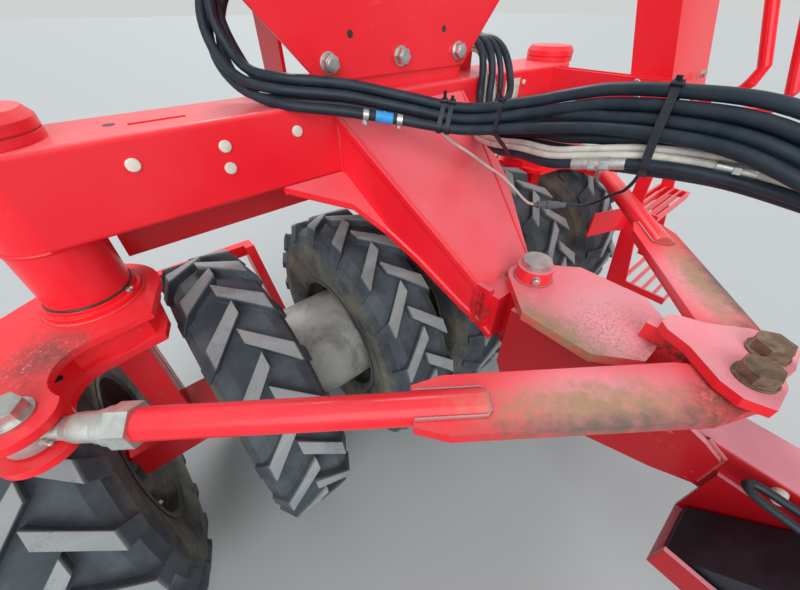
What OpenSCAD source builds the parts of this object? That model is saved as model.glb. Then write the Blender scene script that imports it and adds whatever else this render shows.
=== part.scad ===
// Steered front carriage of a folded seed drill.
// Everything is drawn about the ground point midway between the kingpins, +Y to the rear and the
// drawbar towards -Y, and is then moved along Y to stand about the middle of the carriage.

/* [Cross beam] */
// Height of the top of the beam above the ground
beam_top = 1145; // [1100:5:1200]
// Height of the box section
beam_h = 150; // [120:5:180]
// Depth of the box section, front to rear
beam_d = 165; // [156:1:200]
// Radius of the beam's long edges
beam_edge_r = 9; // [4:1:16]
// Distance between the two kingpin axes
kingpin_track = 1480; // [1440:10:1560]

/* [Kingpins] */
// Outer radius of the housing tube
housing_r = 70; // [64:1:76]
// Height of the housing's lower end
housing_bottom = 882; // [876:1:900]
// Radius of the kingpin
kingpin_r = 45; // [35:1:50]
// Height of the cap on top of the housing
cap_h = 43; // [30:1:60]
// Largest radius of the cap
cap_r = 76; // [72:1:84]
// Radial gap of every running fit
fit_gap = 0.05; // [0.02:0.01:0.1]

/* [Steering arms] */
// Distance from the kingpin to the arm bolt, sideways
arm_out = 126.5; // [110:0.5:140]
// Distance from the kingpin to the arm bolt, forwards
arm_forward = 234; // [220:1:250]
// Thickness of the two arm plates
arm_plate_t = 15; // [10:1:18]
// Free height between the two arm plates
arm_gap = 44; // [40:1:48]
// Height of the tie rod's eye
arm_eye_z = 820; // [818:1:824]
// Radius of the arm round the bolt
arm_end_r = 56; // [50:1:58]
// Radius of the arm bolt
arm_bolt_r = 15; // [12:1:18]
// Radius of the arm round the kingpin
arm_root_r = 112; // [100:1:116]
// Radius of the hollow in the arm's front edge
arm_notch_r = 64; // [56:1:68]
// Distance of the web behind the plates' edges
arm_web_set = 13; // [8:1:18]

/* [Wheels] */
// Outer radius of the tyres, to the lug tips
tyre_r = 405; // [380:1:420]
// Width of the tyres
tyre_w = 210; // [180:1:214]
// Radius of the rim's seat
rim_r = 205; // [190:1:220]
// Distance from the kingpin to the middle of the tyres on both sides of it
wheel_offset = 200; // [194:1:214]
// Distance from the carriage's middle to the inner tyre
inner_x = 155; // [150:1:160]
// Radius of the wheel spindles
spindle_r = 30; // [24:1:36]
// Radius of the drum between the twin tyres
drum_r = 160; // [120:1:164]
// Number of lugs in each of a tyre's two rows
lug_count = 18; // [14:1:20]
// Height of the lugs over the carcass
lug_h = 27; // [20:1:32]
// Width of a lug along the tread
lug_w = 46; // [36:1:52]
// Depth of the rim's drop centre
rim_drop = 30; // [20:1:34]
// Depth of the outer wheel's dished disc
disc_dish = 22; // [10:1:24]

/* [Knuckles] */
// Side of the leg's square tube
leg_w = 60; // [50:1:70]
// Distance from the kingpin axis to the leg's front
leg_front = 66; // [62:1:80]
// Height of the axle beam's section
axle_h = 90; // [70:1:110]

/* [Gooseneck] */
// Half width over the side plates at the beam
neck_w = 196; // [180:2:210]
// Half width of the foot plate under the beam
neck_foot_w = 345; // [300:5:350]
// Thickness of the top, bottom and foot plates
neck_t = 12; // [8:1:16]
// Half width of the nose
nose_w = 88; // [76:1:92]
// Forward distance of the drawbar pin
pin_forward = 511; // [505:1:530]
// Radius of the drawbar pin
pin_r = 25; // [20:1:30]
// Outer radius of the pivot boss
boss_r = 48; // [42:1:52]

/* [Drawbar] */
// Height of the top of the head plate
head_top = 838; // [834:1:840]
// Thickness of the head's plates
head_plate_t = 20; // [14:1:24]
// Radius of the head plate's tail round the pin
tail_r = 52; // [48:1:54]
// Half width over the side plates at the pivot
head_w = 106; // [102:1:110]
// Width of the drawbar tube
tube_w = 96; // [80:2:120]
// Height of the drawbar tube
tube_h = 122; // [100:2:140]
// Height of the top of the drawbar tube
tube_top = 754; // [740:1:770]
// Forward distance of the towing eye
eye_forward = 2400; // [2200:10:2600]
// Radius of the towing eye's hole
eye_r = 25; // [20:1:26]

/* [Steering linkage] */
// Forward distance of the steering bolts
bolt_forward = 884; // [870:1:900]
// Sideways distance of each steering bolt from the middle
bolt_out = 36; // [34:1:42]
// Height of the top of the steering plate
steer_top = 891; // [890:1:896]
// Thickness of the steering plate
steer_t = 18; // [12:1:20]
// Radius of the steering bolts
bolt_r = 15; // [12:1:17]
// Radius of the tie rod's tube
rod_r = 25; // [20:1:28]
// Width of the tie rod's flat bar
bar_w = 100; // [80:1:110]
// Thickness of the tie rod's flat bar
bar_t = 20; // [14:1:24]
// Length of the flat bar from the steering bolt
bar_l = 440; // [380:5:480]
// Height of the spacer between steering plate and flat bar
spacer_t = 4; // [3:0.5:5]
// Radial room of the open eye round the arm bolt
eye_room = 7; // [6:0.5:8]

/* [Tower] */
// Height of the tower sheet's top
tower_top = 1560; // [1500:10:1650]
// Half width of the tower sheet at its bottom
tower_low_w = 215; // [205:5:240]
// Half width of the tower sheet at its widest
tower_wide_w = 400; // [360:5:430]
// Thickness of the tower sheet
tower_t = 8; // [5:1:10]
// Sideways spacing of the tower bolts
tower_pitch = 190; // [170:5:195]

/* [Jack] */
// Forward distance of the parking jack
jack_forward = 1900; // [1700:10:2000]
// Outer radius of the jack's housing
jack_r = 38; // [34:1:44]
// Radius of the jack's inner leg
jack_leg_r = 30; // [26:1:32]

/* [Hoses] */
// Radius of the clipped hose bundle
bundle_r = 34; // [28:1:38]

/* [Ladder] */
// Sideways place of the bracket on the beam
bracket_x = 645; // [630:1:655]
// Width between the ladder's two stringers
ladder_w = 305; // [260:5:320]
// Height of the upper step
step_high = 765; // [740:1:770]
// Height of the lower step
step_low = 500; // [450:5:560]
// Backward lean of the post, as a share of its height
post_lean = 0.31; // [0.2:0.01:0.4]
// Radius of the handrail
rail_r = 17; // [14:1:20]

/* [Hidden] */
$fn = 64;

LEFT = -1;
RIGHT = 1;

kp_x = kingpin_track / 2;
beam_bottom = beam_top - beam_h;
beam_front = -beam_d / 2;
beam_rear = beam_d / 2;
axle_z = tyre_r;
outer_x = kp_x + wheel_offset;
middle_x = kp_x - wheel_offset;

// The whole carriage along Y, from the towing eye's tip to the back of the tyres
eye_rim = 55;
front_end = -eye_forward - eye_rim;
mid_y = (front_end + tyre_r) / 2;

RED = [0.80, 0.05, 0.06];
DARK_RED = [0.55, 0.03, 0.04];
RUBBER = [0.10, 0.11, 0.13];
ZINC = [0.70, 0.73, 0.72];
RUST = [0.36, 0.26, 0.18];
CREAM = [0.66, 0.62, 0.52];

module placed() {
  translate([0, -mid_y, 0]) children();
}

// One side of the carriage, drawn for the right and mirrored for the left
module on_side(side) {
  placed() scale([side, 1, 1]) children();
}

// A vertical round bar from z0 to z1
module post(x, y, z0, z1, r) {
  translate([x, y, z0]) cylinder(h = z1 - z0, r = r);
}

// A round bar along X from x0 to x1
module bar_x(x0, x1, y, z, r) {
  translate([x0, y, z]) rotate([0, 90, 0]) cylinder(h = x1 - x0, r = r);
}

// A flat outline extruded upwards from z0 to z1
module plate_z(z0, z1) {
  translate([0, 0, z0]) linear_extrude(height = z1 - z0) children();
}

// A block between two corners
module block(a, b) {
  translate(a) cube([b[0] - a[0], b[1] - a[1], b[2] - a[2]]);
}

// A flat piece standing across X, drawn as an outline of [y, z], from x0 to x1
module plate_x(x0, x1) {
  translate([x0, 0, 0]) rotate([90, 0, 90]) linear_extrude(height = x1 - x0) children();
}

// A flat piece standing across Y, drawn as an outline of [x, z], from y0 to y1
module plate_y(y0, y1) {
  translate([0, y1, 0]) rotate([90, 0, 0]) linear_extrude(height = y1 - y0) children();
}

// A rectangle with round corners, drawn between two corners
module round_rect(a, b, r) {
  w = b[0] - a[0];
  h = b[1] - a[1];
  translate([a[0] + r, a[1]]) square([w - 2 * r, h]);
  translate([a[0], a[1] + r]) square([w, h - 2 * r]);
  for (x = [a[0] + r, b[0] - r], y = [a[1] + r, b[1] - r]) translate([x, y]) circle(r = r);
}

// Cross beam

module cross_beam() {
  slot = [90, 14];
  slot_x = -560;
  color(RED) placed() difference() {
    plate_x(-kp_x, kp_x) round_rect([beam_front, beam_bottom], [beam_rear, beam_top], beam_edge_r);
    for (s = [LEFT, RIGHT]) post(s * kp_x, 0, beam_bottom - 1, beam_top + 1, housing_r);
    block([slot_x, -24, beam_top - 6], [slot_x + slot[0], -24 + slot[1], beam_top + 1]);
  }
}

module kingpin_housings() {
  pin_room = cap_h / 2;
  color(RED) placed() for (s = [LEFT, RIGHT]) difference() {
    union() {
      post(s * kp_x, 0, housing_bottom, beam_top, housing_r);
      post(s * kp_x, 0, beam_top, beam_top + cap_h * 0.3, cap_r);
    }
    post(s * kp_x, 0, housing_bottom - 1, beam_top + pin_room, kingpin_r + fit_gap);
  }
}

module kingpin_caps() {
  seam = 0.3 * cap_h;
  lip = 0.4 * cap_h;
  color(RED) placed() for (s = [LEFT, RIGHT]) translate([s * kp_x, 0, beam_top + seam])
    rotate_extrude() polygon([
      [0, 0], [cap_r - 3, 0], [cap_r - 3, 3], [cap_r, 3], [cap_r, lip],
      [cap_r - 10, cap_h - seam], [0, cap_h - seam]
    ]);
}

rear_plate_t = 12;

module rear_plate() {
  plate_low = beam_bottom - 115;
  plate_end = 660;
  color(DARK_RED) placed()
    block([-plate_end, beam_rear - rear_plate_t, plate_low], [plate_end, beam_rear, beam_bottom]);
}

// Gooseneck: two side plates between a top and a bottom plate, narrowing and dropping from the beam
// to the pivot boss; the bottom plate spreads into a foot plate under the beam

neck_top_z = beam_top - 25;
neck_low_z = beam_bottom - neck_t;
nose_top_y = -(pin_forward - tail_r - 7);
nose_front_y = -(pin_forward - 17);
nose_bend_y = nose_front_y + 49;
nose_top_z = head_top - head_plate_t - 9;
nose_low_z = nose_top_z - 122;
neck_lip = 7;

// Lower edge from the beam to the nose, as [y, z]
neck_low_edge = [
  [beam_front, neck_low_z], [beam_front - 118, beam_bottom - 125], [nose_front_y + 204, nose_low_z + 130],
  [nose_front_y + 84, nose_low_z + 44], [nose_front_y, nose_low_z]
];

function half_neck(y) = nose_w + (neck_w - nose_w) * (y - nose_bend_y) / (beam_front - nose_bend_y);
function mirrored(right) = concat(right, [for (i = [len(right) - 1:-1:0]) [-right[i][0], right[i][1]]]);

// What lies between a side view and a plan of the gooseneck
module neck_piece(side_view, plan) {
  intersection() {
    plate_x(-neck_foot_w, neck_foot_w) polygon(side_view);
    plate_z(nose_low_z - 50, neck_top_z + 50) polygon(plan);
  }
}

// Guide of the drawbar's lock on the nose: two bars joined at the top
module nose_guide() {
  low = nose_low_z + 20;
  high = nose_top_z + 14;
  guide_y = nose_bend_y - 8;
  difference() {
    block([-nose_w - 9, guide_y - 21, low], [-nose_w + 6, guide_y + 21, high]);
    block([-nose_w - 10, guide_y - 9, low - 1], [-nose_w, guide_y + 9, high - 13]);
  }
}

module gooseneck() {
  top = [[beam_front, neck_top_z], [nose_top_y, nose_top_z], [nose_front_y, nose_top_z]];
  low = [for (i = [len(neck_low_edge) - 1:-1:0]) neck_low_edge[i]];
  color(RED) placed() {
    difference() {
      union() {
        neck_piece(concat(top, low),
          mirrored([[neck_w, beam_front], [nose_w, nose_bend_y], [nose_w, nose_front_y]]));
        neck_piece(concat([top[0], top[1]], [for (i = [1, 0]) [top[i][0], top[i][1] - neck_t * 1.3]]), [
          [-neck_w - neck_lip, beam_front], [neck_w + neck_lip, beam_front], [half_neck(-287) + 40, -287],
          [nose_w + neck_lip, nose_bend_y], [nose_w + neck_lip, nose_top_y], [-nose_w - neck_lip, nose_top_y],
          [-nose_w - neck_lip, nose_bend_y]
        ]);
        neck_piece(concat(low, [for (p = neck_low_edge) p + [0, neck_t * 1.3]]), mirrored([
          [neck_foot_w, beam_front], [half_neck(-142) + 36, -142], [half_neck(-200) + neck_lip, -200],
          [nose_w + neck_lip, nose_bend_y], [nose_w + neck_lip, nose_front_y]
        ]));
        block([-neck_foot_w, beam_front, neck_low_z], [neck_foot_w, beam_rear - rear_plate_t, beam_bottom]);
        nose_guide();
      }
      post(0, -pin_forward, nose_low_z - 20, nose_top_z + 20, boss_r);
    }
  }
}

module drawbar_boss() {
  color(RED) placed() difference() {
    post(0, -pin_forward, boss_low, boss_high, boss_r);
    post(0, -pin_forward, boss_low - 1, boss_high + 1, pin_r + fit_gap);
  }
}

// Tower sheet, bolted to an upstand on the beam

upstand_h = 100;
upstand_front = -52;
tower_hole_r = 11;
tower_bolt_z = beam_top + 62;
tower_top_hole_r = 9;
tower_top_pitch = 600;

module tower_holes() {
  for (i = [-1, 0, 1]) translate([i * tower_pitch, 100, tower_bolt_z]) rotate([90, 0, 0])
    cylinder(h = 250, r = tower_hole_r);
}

module tower_upstand() {
  color(RED) placed() difference() {
    union() {
      block([-tower_low_w, upstand_front, beam_top], [tower_low_w, upstand_front + 10, beam_top + upstand_h]);
      for (s = [LEFT, RIGHT]) translate([s * 140 - 5, 0, 0]) plate_x(0, 10)
        polygon([[upstand_front + 10, beam_top], [beam_rear - 10, beam_top], [upstand_front + 10, beam_top + upstand_h]]);
    }
    tower_holes();
  }
}

module tower_sheet() {
  low = beam_top + 30;
  wide_z = beam_top + 230;
  side_d = 120;
  color(RED) placed() {
    difference() {
      plate_y(upstand_front - tower_t, upstand_front) polygon([
        [-tower_low_w, low], [tower_low_w, low], [tower_wide_w, wide_z], [tower_wide_w, tower_top],
        [-tower_wide_w, tower_top], [-tower_wide_w, wide_z]
      ]);
      tower_holes();
      for (s = [LEFT, RIGHT]) translate([s * tower_top_pitch / 2, 0, tower_top - 40]) rotate([90, 0, 0])
        cylinder(h = 100, r = tower_top_hole_r);
    }
    for (s = [LEFT, RIGHT])
      block([s * tower_wide_w - (s > 0 ? tower_t : 0), upstand_front, wide_z],
            [s * tower_wide_w + (s > 0 ? 0 : tower_t), upstand_front + side_d, tower_top]);
  }
}

// Stub and flange where the main frame bolts on

flange_y = 260;
flange_t = 20;
flange_w = 380;
flange_hole = [310, 90];
flange_hole_r = 11;

module frame_stub() {
  color(RED) placed() difference() {
    union() {
      for (s = [LEFT, RIGHT]) block([s * 100 - 50, beam_rear, beam_bottom + 10],
                                    [s * 100 + 50, flange_y, beam_top - 10]);
      block([-flange_w / 2, flange_y, beam_bottom], [flange_w / 2, flange_y + flange_t, beam_top]);
    }
    for (x = [-1, 1], z = [-1, 1])
      translate([x * flange_hole[0] / 2, flange_y + flange_t + 1, (beam_top + beam_bottom) / 2 + z * flange_hole[1] / 2])
        rotate([90, 0, 0]) cylinder(h = flange_t + 2, r = flange_hole_r);
  }
}

// Access ladder on the right, ahead of the tyres: a bracket on the beam carries a folded post, and
// two stringers hang from it with the steps

bracket_w = 46;
bracket_t = 6;
bracket_low = beam_bottom + 60;
bracket_high = beam_top - 8;
ladder_y = -434;
ladder_in = bracket_x + bracket_w - bracket_t;
ladder_out = ladder_in + ladder_w;
string_t = 8;
string_w = 40;
rail_x = ladder_out + string_t + rail_r;
rail_top = tower_top - 20;
rail_foot_z = bracket_high - 88;
step_h = 25;
step_bar = 8;
// Columns: height of the top, rear edge, front edge of each step
step_rows = [[step_low, ladder_y - 96, ladder_y - 256], [step_high, ladder_y - 10, ladder_y - 116]];

// A U of two standing sides and a floor, with a round front end
module step_bracket() {
  end_r = 24;
  front = ladder_y - 6;
  color(RED) placed() {
    for (x = [bracket_x, bracket_x + bracket_w - bracket_t]) plate_x(x, x + bracket_t) {
      translate([front + end_r, bracket_low + end_r]) circle(r = end_r);
      polygon([[front, bracket_low + end_r], [front + end_r, bracket_low], [beam_front, bracket_low],
               [beam_front, bracket_high], [front, bracket_high]]);
    }
    block([bracket_x, front + end_r + 20, bracket_low],
          [bracket_x + bracket_w, beam_front, bracket_low + bracket_t]);
  }
}

// The post: a folded sheet with a cheek beside the bracket and a face over the steps, leaning back
module ladder_post() {
  post_t = 6;
  cheek_d = 112;
  face_low = bracket_high - 50;
  post_top = tower_top - 4;
  cheek_x = bracket_x + bracket_w;
  back = post_lean * (post_top - face_low);
  color(RED) placed() {
    plate_x(cheek_x, cheek_x + post_t) polygon([
      [ladder_y, bracket_low + 16], [ladder_y + cheek_d, bracket_low + 16], [ladder_y + cheek_d, face_low],
      [ladder_y + cheek_d + back, post_top], [ladder_y + back, post_top], [ladder_y, face_low]
    ]);
    plate_x(cheek_x, ladder_out + string_t) polygon([
      [ladder_y, face_low], [ladder_y + post_t, face_low], [ladder_y + post_t + back, post_top],
      [ladder_y + back, post_top]
    ]);
    block([ladder_out - 60, ladder_y, rail_foot_z - 46], [rail_x + rail_r, ladder_y + post_t, face_low]);
  }
}

string_in = ladder_in + bracket_t + 0.3;

// Gratings of flat bars, two bent stringers, and a guard beside the wheel
module steps() {
  bars = 5;
  low_end = step_rows[0][0] - 30;
  bend_z = step_high + 40;
  hang_z = bracket_low + 13;
  color(RED) placed() {
    for (x = [string_in, ladder_out - string_t]) plate_x(x, x + string_t) {
      polygon([
        [ladder_y - 56, low_end], [ladder_y - 126, low_end], [ladder_y - 52, bend_z],
        [ladder_y - string_w, hang_z], [ladder_y - 0.3, hang_z], [ladder_y - 12, bend_z]
      ]);
    }
    for (row = step_rows) {
      depth = row[1] - row[2];
      for (i = [0:bars - 1])
        translate([0, row[2] + i * (depth - step_bar) / (bars - 1), row[0] - step_h])
          block([string_in, 0, 0], [ladder_out, step_bar, step_h]);
      for (x = [string_in, ladder_out - string_t])
        block([x, row[2], row[0] - step_h], [x + string_t, row[1], row[0]]);
    }
  }
}

// Bent plate that keeps boots off the tyre, welded to the inner stringer
module step_guard() {
  guard_l = 165;
  color(RED) placed() translate([string_in - 2.4, ladder_y - 36, step_high - 76]) rotate([0, 0, -20])
    block([-guard_l, 0, 0], [0, 6, 84]);
}

// One long loop of tube beside the steps: both ends stand on the post's foot, its legs lean back
module handrails() {
  lean = 0.42;
  leg_gap = 95;
  first = [rail_foot_z + 24, rail_foot_z - 24];
  // Columns: distance ahead of the post's foot, height over the rear leg's end
  bend = [[0.3, 0], [50, 0], [88, 10], [108, 36], [118, 80]];
  rise = rail_top - first[0];
  rear = [for (p = bend) [rail_x, ladder_y - p[0], first[0] + p[1]]];
  front = [for (p = bend) [rail_x, ladder_y - p[0] * (118 + leg_gap) / 118, first[1] + p[1] * 0.9]];
  top = [for (p = [[0, -30], [8, -8], [leg_gap / 2, 0], [leg_gap - 8, -8], [leg_gap, -30]])
    [rail_x, ladder_y - 118 + lean * (rise - 80 + p[1]) - p[0], rail_top + p[1]]];
  color(RED) placed() sweep(concat(rear, top, [for (i = [len(front) - 1:-1:0]) front[i]]), rail_r, 14);
}

// Steering arm: two plates with a web, carried by the kingpin

arm_x = kp_x + arm_out;
arm_y = -arm_forward;
arm_low_top = arm_eye_z - arm_gap / 2;
arm_up_low = arm_eye_z + arm_gap / 2;
arm_up_top = arm_up_low + arm_plate_t;
arm_low_bottom = arm_low_top - arm_plate_t;

// Outline of the arm, broad towards the outer tyre and hollow in front; set moves its edge inwards
module arm_outline(set) {
  notch = [arm_out - 107, -arm_forward + 35];
  translate([kp_x, 0]) difference() {
    union() {
      circle(r = arm_root_r - set);
      translate([arm_out, -arm_forward]) circle(r = arm_end_r - set);
      polygon([
        [set - arm_root_r * 0.87, -arm_root_r * 0.5],
        [set - arm_root_r * 0.66, notch[1] + arm_notch_r + 13 + set],
        [notch[0], notch[1] + arm_notch_r], [arm_out, -arm_forward], [arm_out + arm_end_r - set, -arm_forward],
        [arm_out + 24 - set, arm_root_r * 0.27], [arm_root_r * 0.66, arm_root_r * 0.75 - set]
      ]);
    }
    translate(notch) circle(r = arm_notch_r + set);
  }
}

// Room round the tyres on both sides of the kingpin
module tyre_room() {
  for (x = [outer_x, middle_x]) bar_x(x - tyre_w / 2 - 6, x + tyre_w / 2 + 6, 0, axle_z, tyre_r + 8);
}

module steering_arm(side) {
  color(RED) on_side(side) difference() {
    union() {
      plate_z(arm_low_bottom, arm_low_top) arm_outline(0);
      plate_z(arm_up_low, arm_up_top) arm_outline(0);
      plate_z(arm_low_top, arm_up_low) difference() {
        arm_outline(arm_web_set);
        translate([arm_x, arm_y]) circle(r = arm_end_r + 66);
      }
    }
    tyre_room();
    post(arm_x, arm_y, arm_low_bottom - 1, arm_up_top + 1, arm_bolt_r);
    post(kp_x, 0, arm_low_bottom - 1, arm_up_top + 1, kingpin_r);
  }
}

module kingpin(side) {
  collar_gap = 4;
  collar_h = housing_bottom - arm_up_top - collar_gap;
  color(RED) on_side(side) {
    post(kp_x, 0, arm_low_bottom, beam_top + cap_h * 0.3 - 3, kingpin_r);
    post(kp_x, 0, arm_up_top, arm_up_top + collar_h * 0.6, housing_r + 12);
    post(kp_x, 0, arm_up_top, arm_up_top + collar_h, housing_r + 4);
  }
}

module arm_bolt(side) {
  head_r = 26;
  head_h = 19;
  nut_h = 16;
  washer_t = 4;
  color(ZINC) on_side(side) {
    post(arm_x, arm_y, arm_low_bottom - nut_h, arm_up_top + washer_t, arm_bolt_r);
    post(arm_x, arm_y, arm_up_top, arm_up_top + washer_t, 30);
    translate([arm_x, arm_y, arm_up_top + washer_t]) cylinder(h = head_h, r = head_r, $fn = 6);
    translate([arm_x, arm_y, arm_low_bottom - nut_h]) cylinder(h = nut_h, r = head_r, $fn = 6);
  }
}

// Leg, axle beam and spindles of one knuckle

module axle(side) {
  axle_out = outer_x - 70;
  axle_in = middle_x + 80;
  foot = axle_z + axle_h / 2;
  color(RED) on_side(side) {
    block([kp_x - leg_w / 2, -leg_front, foot], [kp_x + leg_w / 2, -leg_front + leg_w, arm_low_bottom]);
    block([kp_x - leg_w / 2, leg_front - leg_w, foot], [kp_x + leg_w / 2, leg_front, arm_low_bottom]);
    block([axle_in, -leg_front, axle_z - axle_h / 2], [axle_out, leg_front, foot]);
    bar_x(axle_out, outer_x + 45, 0, axle_z, spindle_r);
    bar_x(inner_x - 60, axle_in, 0, axle_z, spindle_r);
  }
}

// Bar behind the middle tyre, with a blade that keeps the drum clean

module scraper(side) {
  bar_rear = tyre_r;
  bar_w = 30;
  bar_z = axle_z + 195;
  bar_thick = 40;
  blade_w = 30;
  blade_mid = (inner_x + middle_x) / 2;
  blade_x = [blade_mid - blade_w / 2, blade_mid + blade_w / 2];
  blade_front = drum_r + 14;
  color(RED) on_side(side) {
    block([kp_x - 12, leg_front, bar_z - 30], [kp_x, bar_rear, bar_z + bar_thick]);
    block([blade_x[0], bar_rear - bar_w, bar_z], [kp_x - 12, bar_rear, bar_z + bar_thick]);
    plate_x(blade_x[0], blade_x[1]) polygon([
      [bar_rear - bar_w, bar_z + bar_thick], [bar_rear - bar_w, bar_z - 20],
      [blade_front, axle_z], [blade_front, axle_z + 12], [bar_rear - bar_w - 20, bar_z + bar_thick]
    ]);
  }
}

// Wheels

bead = tyre_w * 0.40;
half_w = tyre_w / 2;
crown_r = tyre_r - lug_h;

module carcass_outline() {
  polygon([
    [rim_r, -bead], [rim_r + 12, -bead - 6], [rim_r + 90, -half_w], [tyre_r - 70, -half_w + 4],
    [crown_r - 12, -half_w + 18], [crown_r, -half_w + 44], [crown_r, half_w - 44], [crown_r - 12, half_w - 18],
    [tyre_r - 70, half_w - 4], [rim_r + 90, half_w], [rim_r + 12, bead + 6], [rim_r, bead]
  ]);
}

// Columns: across and radius at the top of a lug, across and radius at its foot, lag along the tread, width
lug_rows = [
  [-10, tyre_r, -10, crown_r - 10, 0, lug_w * 0.8],
  [half_w - 27, tyre_r - 4, half_w - 36, crown_r - 14, 88, lug_w],
  [half_w, tyre_r - 52, half_w - 24, tyre_r - 88, 106, lug_w * 0.9]
];

// A point on the tyre, its angle counted upwards from the front
function on_tyre(across, r, angle) = [across, -r * cos(angle), r * sin(angle)];

// One lug: a bar from the middle of the tread to the shoulder and down over it
module lug(start) {
  points = [for (row = lug_rows) let (
      mid = start - row[4] / tyre_r * 180 / PI,
      turn = row[5] / 2 / tyre_r * 180 / PI
    ) each [on_tyre(row[0], row[1], mid - turn), on_tyre(row[0], row[1], mid + turn),
            on_tyre(row[2], row[3], mid + turn), on_tyre(row[2], row[3], mid - turn)]];
  last = (len(lug_rows) - 1) * 4;
  sides = [for (i = [0:len(lug_rows) - 2], k = [0:3])
    [4 * i + k, 4 * i + (k + 1) % 4, 4 * i + 4 + (k + 1) % 4, 4 * i + 4 + k]];
  polyhedron(points = points, faces = concat([[3, 2, 1, 0], [last, last + 1, last + 2, last + 3]], sides));
}

// A tyre with its two rows of lugs, the rows half a pitch apart
module tyre(x) {
  pitch = 360 / lug_count;
  first = lug_rows[0][5] / 2 / tyre_r * 180 / PI - 90;
  translate([x, 0, axle_z]) {
    rotate([0, 90, 0]) rotate_extrude() carcass_outline();
    for (i = [0:lug_count - 1]) {
      lug(first + i * pitch);
      mirror([1, 0, 0]) lug(first + (i + 0.5) * pitch);
    }
  }
}

hub_r = 55;
rim_disc_x = 10;
rim_t = 6;

// Rim: flanges, bead seats and a drop centre, with a disc that is flat to flat_r and then dished
module rim(x, flat_r, dish) {
  well_r = rim_r - rim_drop;
  well_w = tyre_w * 0.19;
  seat_w = well_w + 16;
  disc_r = well_r - rim_t / 2;
  translate([x, 0, axle_z]) rotate([0, 90, 0]) rotate_extrude() union() {
    polygon([
      [rim_r, -bead], [rim_r, -seat_w], [well_r, -well_w], [well_r, well_w], [rim_r, seat_w], [rim_r, bead],
      [rim_r + 12, bead + 8], [rim_r + 8, bead + 12], [rim_r - rim_t, bead + 4],
      [rim_r - rim_t, seat_w + 3], [well_r - rim_t, well_w + 3], [well_r - rim_t, -well_w - 3],
      [rim_r - rim_t, -seat_w - 3], [rim_r - rim_t, -bead - 4], [rim_r + 8, -bead - 12], [rim_r + 12, -bead - 8]
    ]);
    polygon([
      [hub_r, rim_disc_x - rim_t], [flat_r, rim_disc_x - rim_t], [disc_r, rim_disc_x - rim_t + dish],
      [disc_r, rim_disc_x + rim_t + dish], [flat_r, rim_disc_x + rim_t], [hub_r, rim_disc_x + rim_t]
    ]);
  }
}

module wheel_outer(side) {
  flange_r = 94;
  bore_end = outer_x + 50;
  face_x = outer_x + rim_disc_x + rim_t;
  color(CREAM) on_side(side) {
    rim(outer_x, flange_r + 10, disc_dish);
    difference() {
      union() {
        bar_x(outer_x - 50, bore_end, 0, axle_z, hub_r);
        bar_x(face_x, face_x + 10, 0, axle_z, flange_r);
        translate([bore_end, 0, axle_z]) rotate([0, 90, 0]) rotate_extrude()
          polygon([[0, 0], [hub_r - 5, 0], [hub_r - 5, 6], [hub_r - 15, 18], [0, 20]]);
      }
      bar_x(outer_x - 51, bore_end, 0, axle_z, spindle_r + fit_gap);
    }
  }
}

module pair_rims() {
  for (x = [middle_x, inner_x]) rim(x, drum_r + 4, 0);
}

// Drum between the discs of the twin tyres, and the hub barrel inside it
module drum(side) {
  disc_half = 6;
  wall = 8;
  lip = 30;
  end_in = inner_x + rim_disc_x + disc_half;
  end_out = middle_x + rim_disc_x - disc_half;
  color(CREAM) on_side(side) {
    translate([end_in, 0, axle_z]) rotate([0, 90, 0]) rotate_extrude() union() {
      translate([drum_r - wall, 0]) square([wall, end_out - end_in]);
      translate([drum_r - lip, 0]) square([lip, wall]);
      translate([drum_r - lip, end_out - end_in - wall]) square([lip, wall]);
    }
    difference() {
      bar_x(inner_x - 50, middle_x + 50, 0, axle_z, hub_r);
      bar_x(inner_x - 51, middle_x + 51, 0, axle_z, spindle_r + fit_gap);
    }
  }
}

// Drawbar head

head_low = 590;
boss_high = head_top - head_plate_t - 1;
lower_plate_top = nose_low_z - 9;
boss_low = lower_plate_top + 1;
pin_y = -pin_forward;
pin_boss_h = 32;

module head_outline() {
  shoulder_y = pin_y - 52;
  shoulder_w = 115;
  corner_y = pin_y - 190;
  end_y = pin_y - 259;
  end_w = 60;
  translate([0, pin_y]) circle(r = tail_r);
  polygon([
    [-tail_r * 0.8, pin_y + tail_r * 0.6], [-shoulder_w, shoulder_y], [-shoulder_w, corner_y], [-end_w, end_y],
    [end_w, end_y], [shoulder_w, corner_y], [shoulder_w, shoulder_y], [tail_r * 0.8, pin_y + tail_r * 0.6]
  ]);
}

module head_plate() {
  color(RED) placed() difference() {
    union() {
      plate_z(head_top - head_plate_t, head_top) head_outline();
      post(0, pin_y, head_top, head_top + pin_boss_h, 38);
    }
    post(0, pin_y, head_top - head_plate_t - 1, head_top + pin_boss_h + 1, pin_r);
  }
}

// The side plates run from the pivot's width to the tube's sides
side_t = 12;
side_rear = pin_y - 24;
side_front = pin_y - 420;
weld_gap = 0.3;
tube_rear_y = pin_y - 160;
side_turn = asin((head_w - side_t - tube_w / 2 - weld_gap) / (side_rear - side_front));

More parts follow.
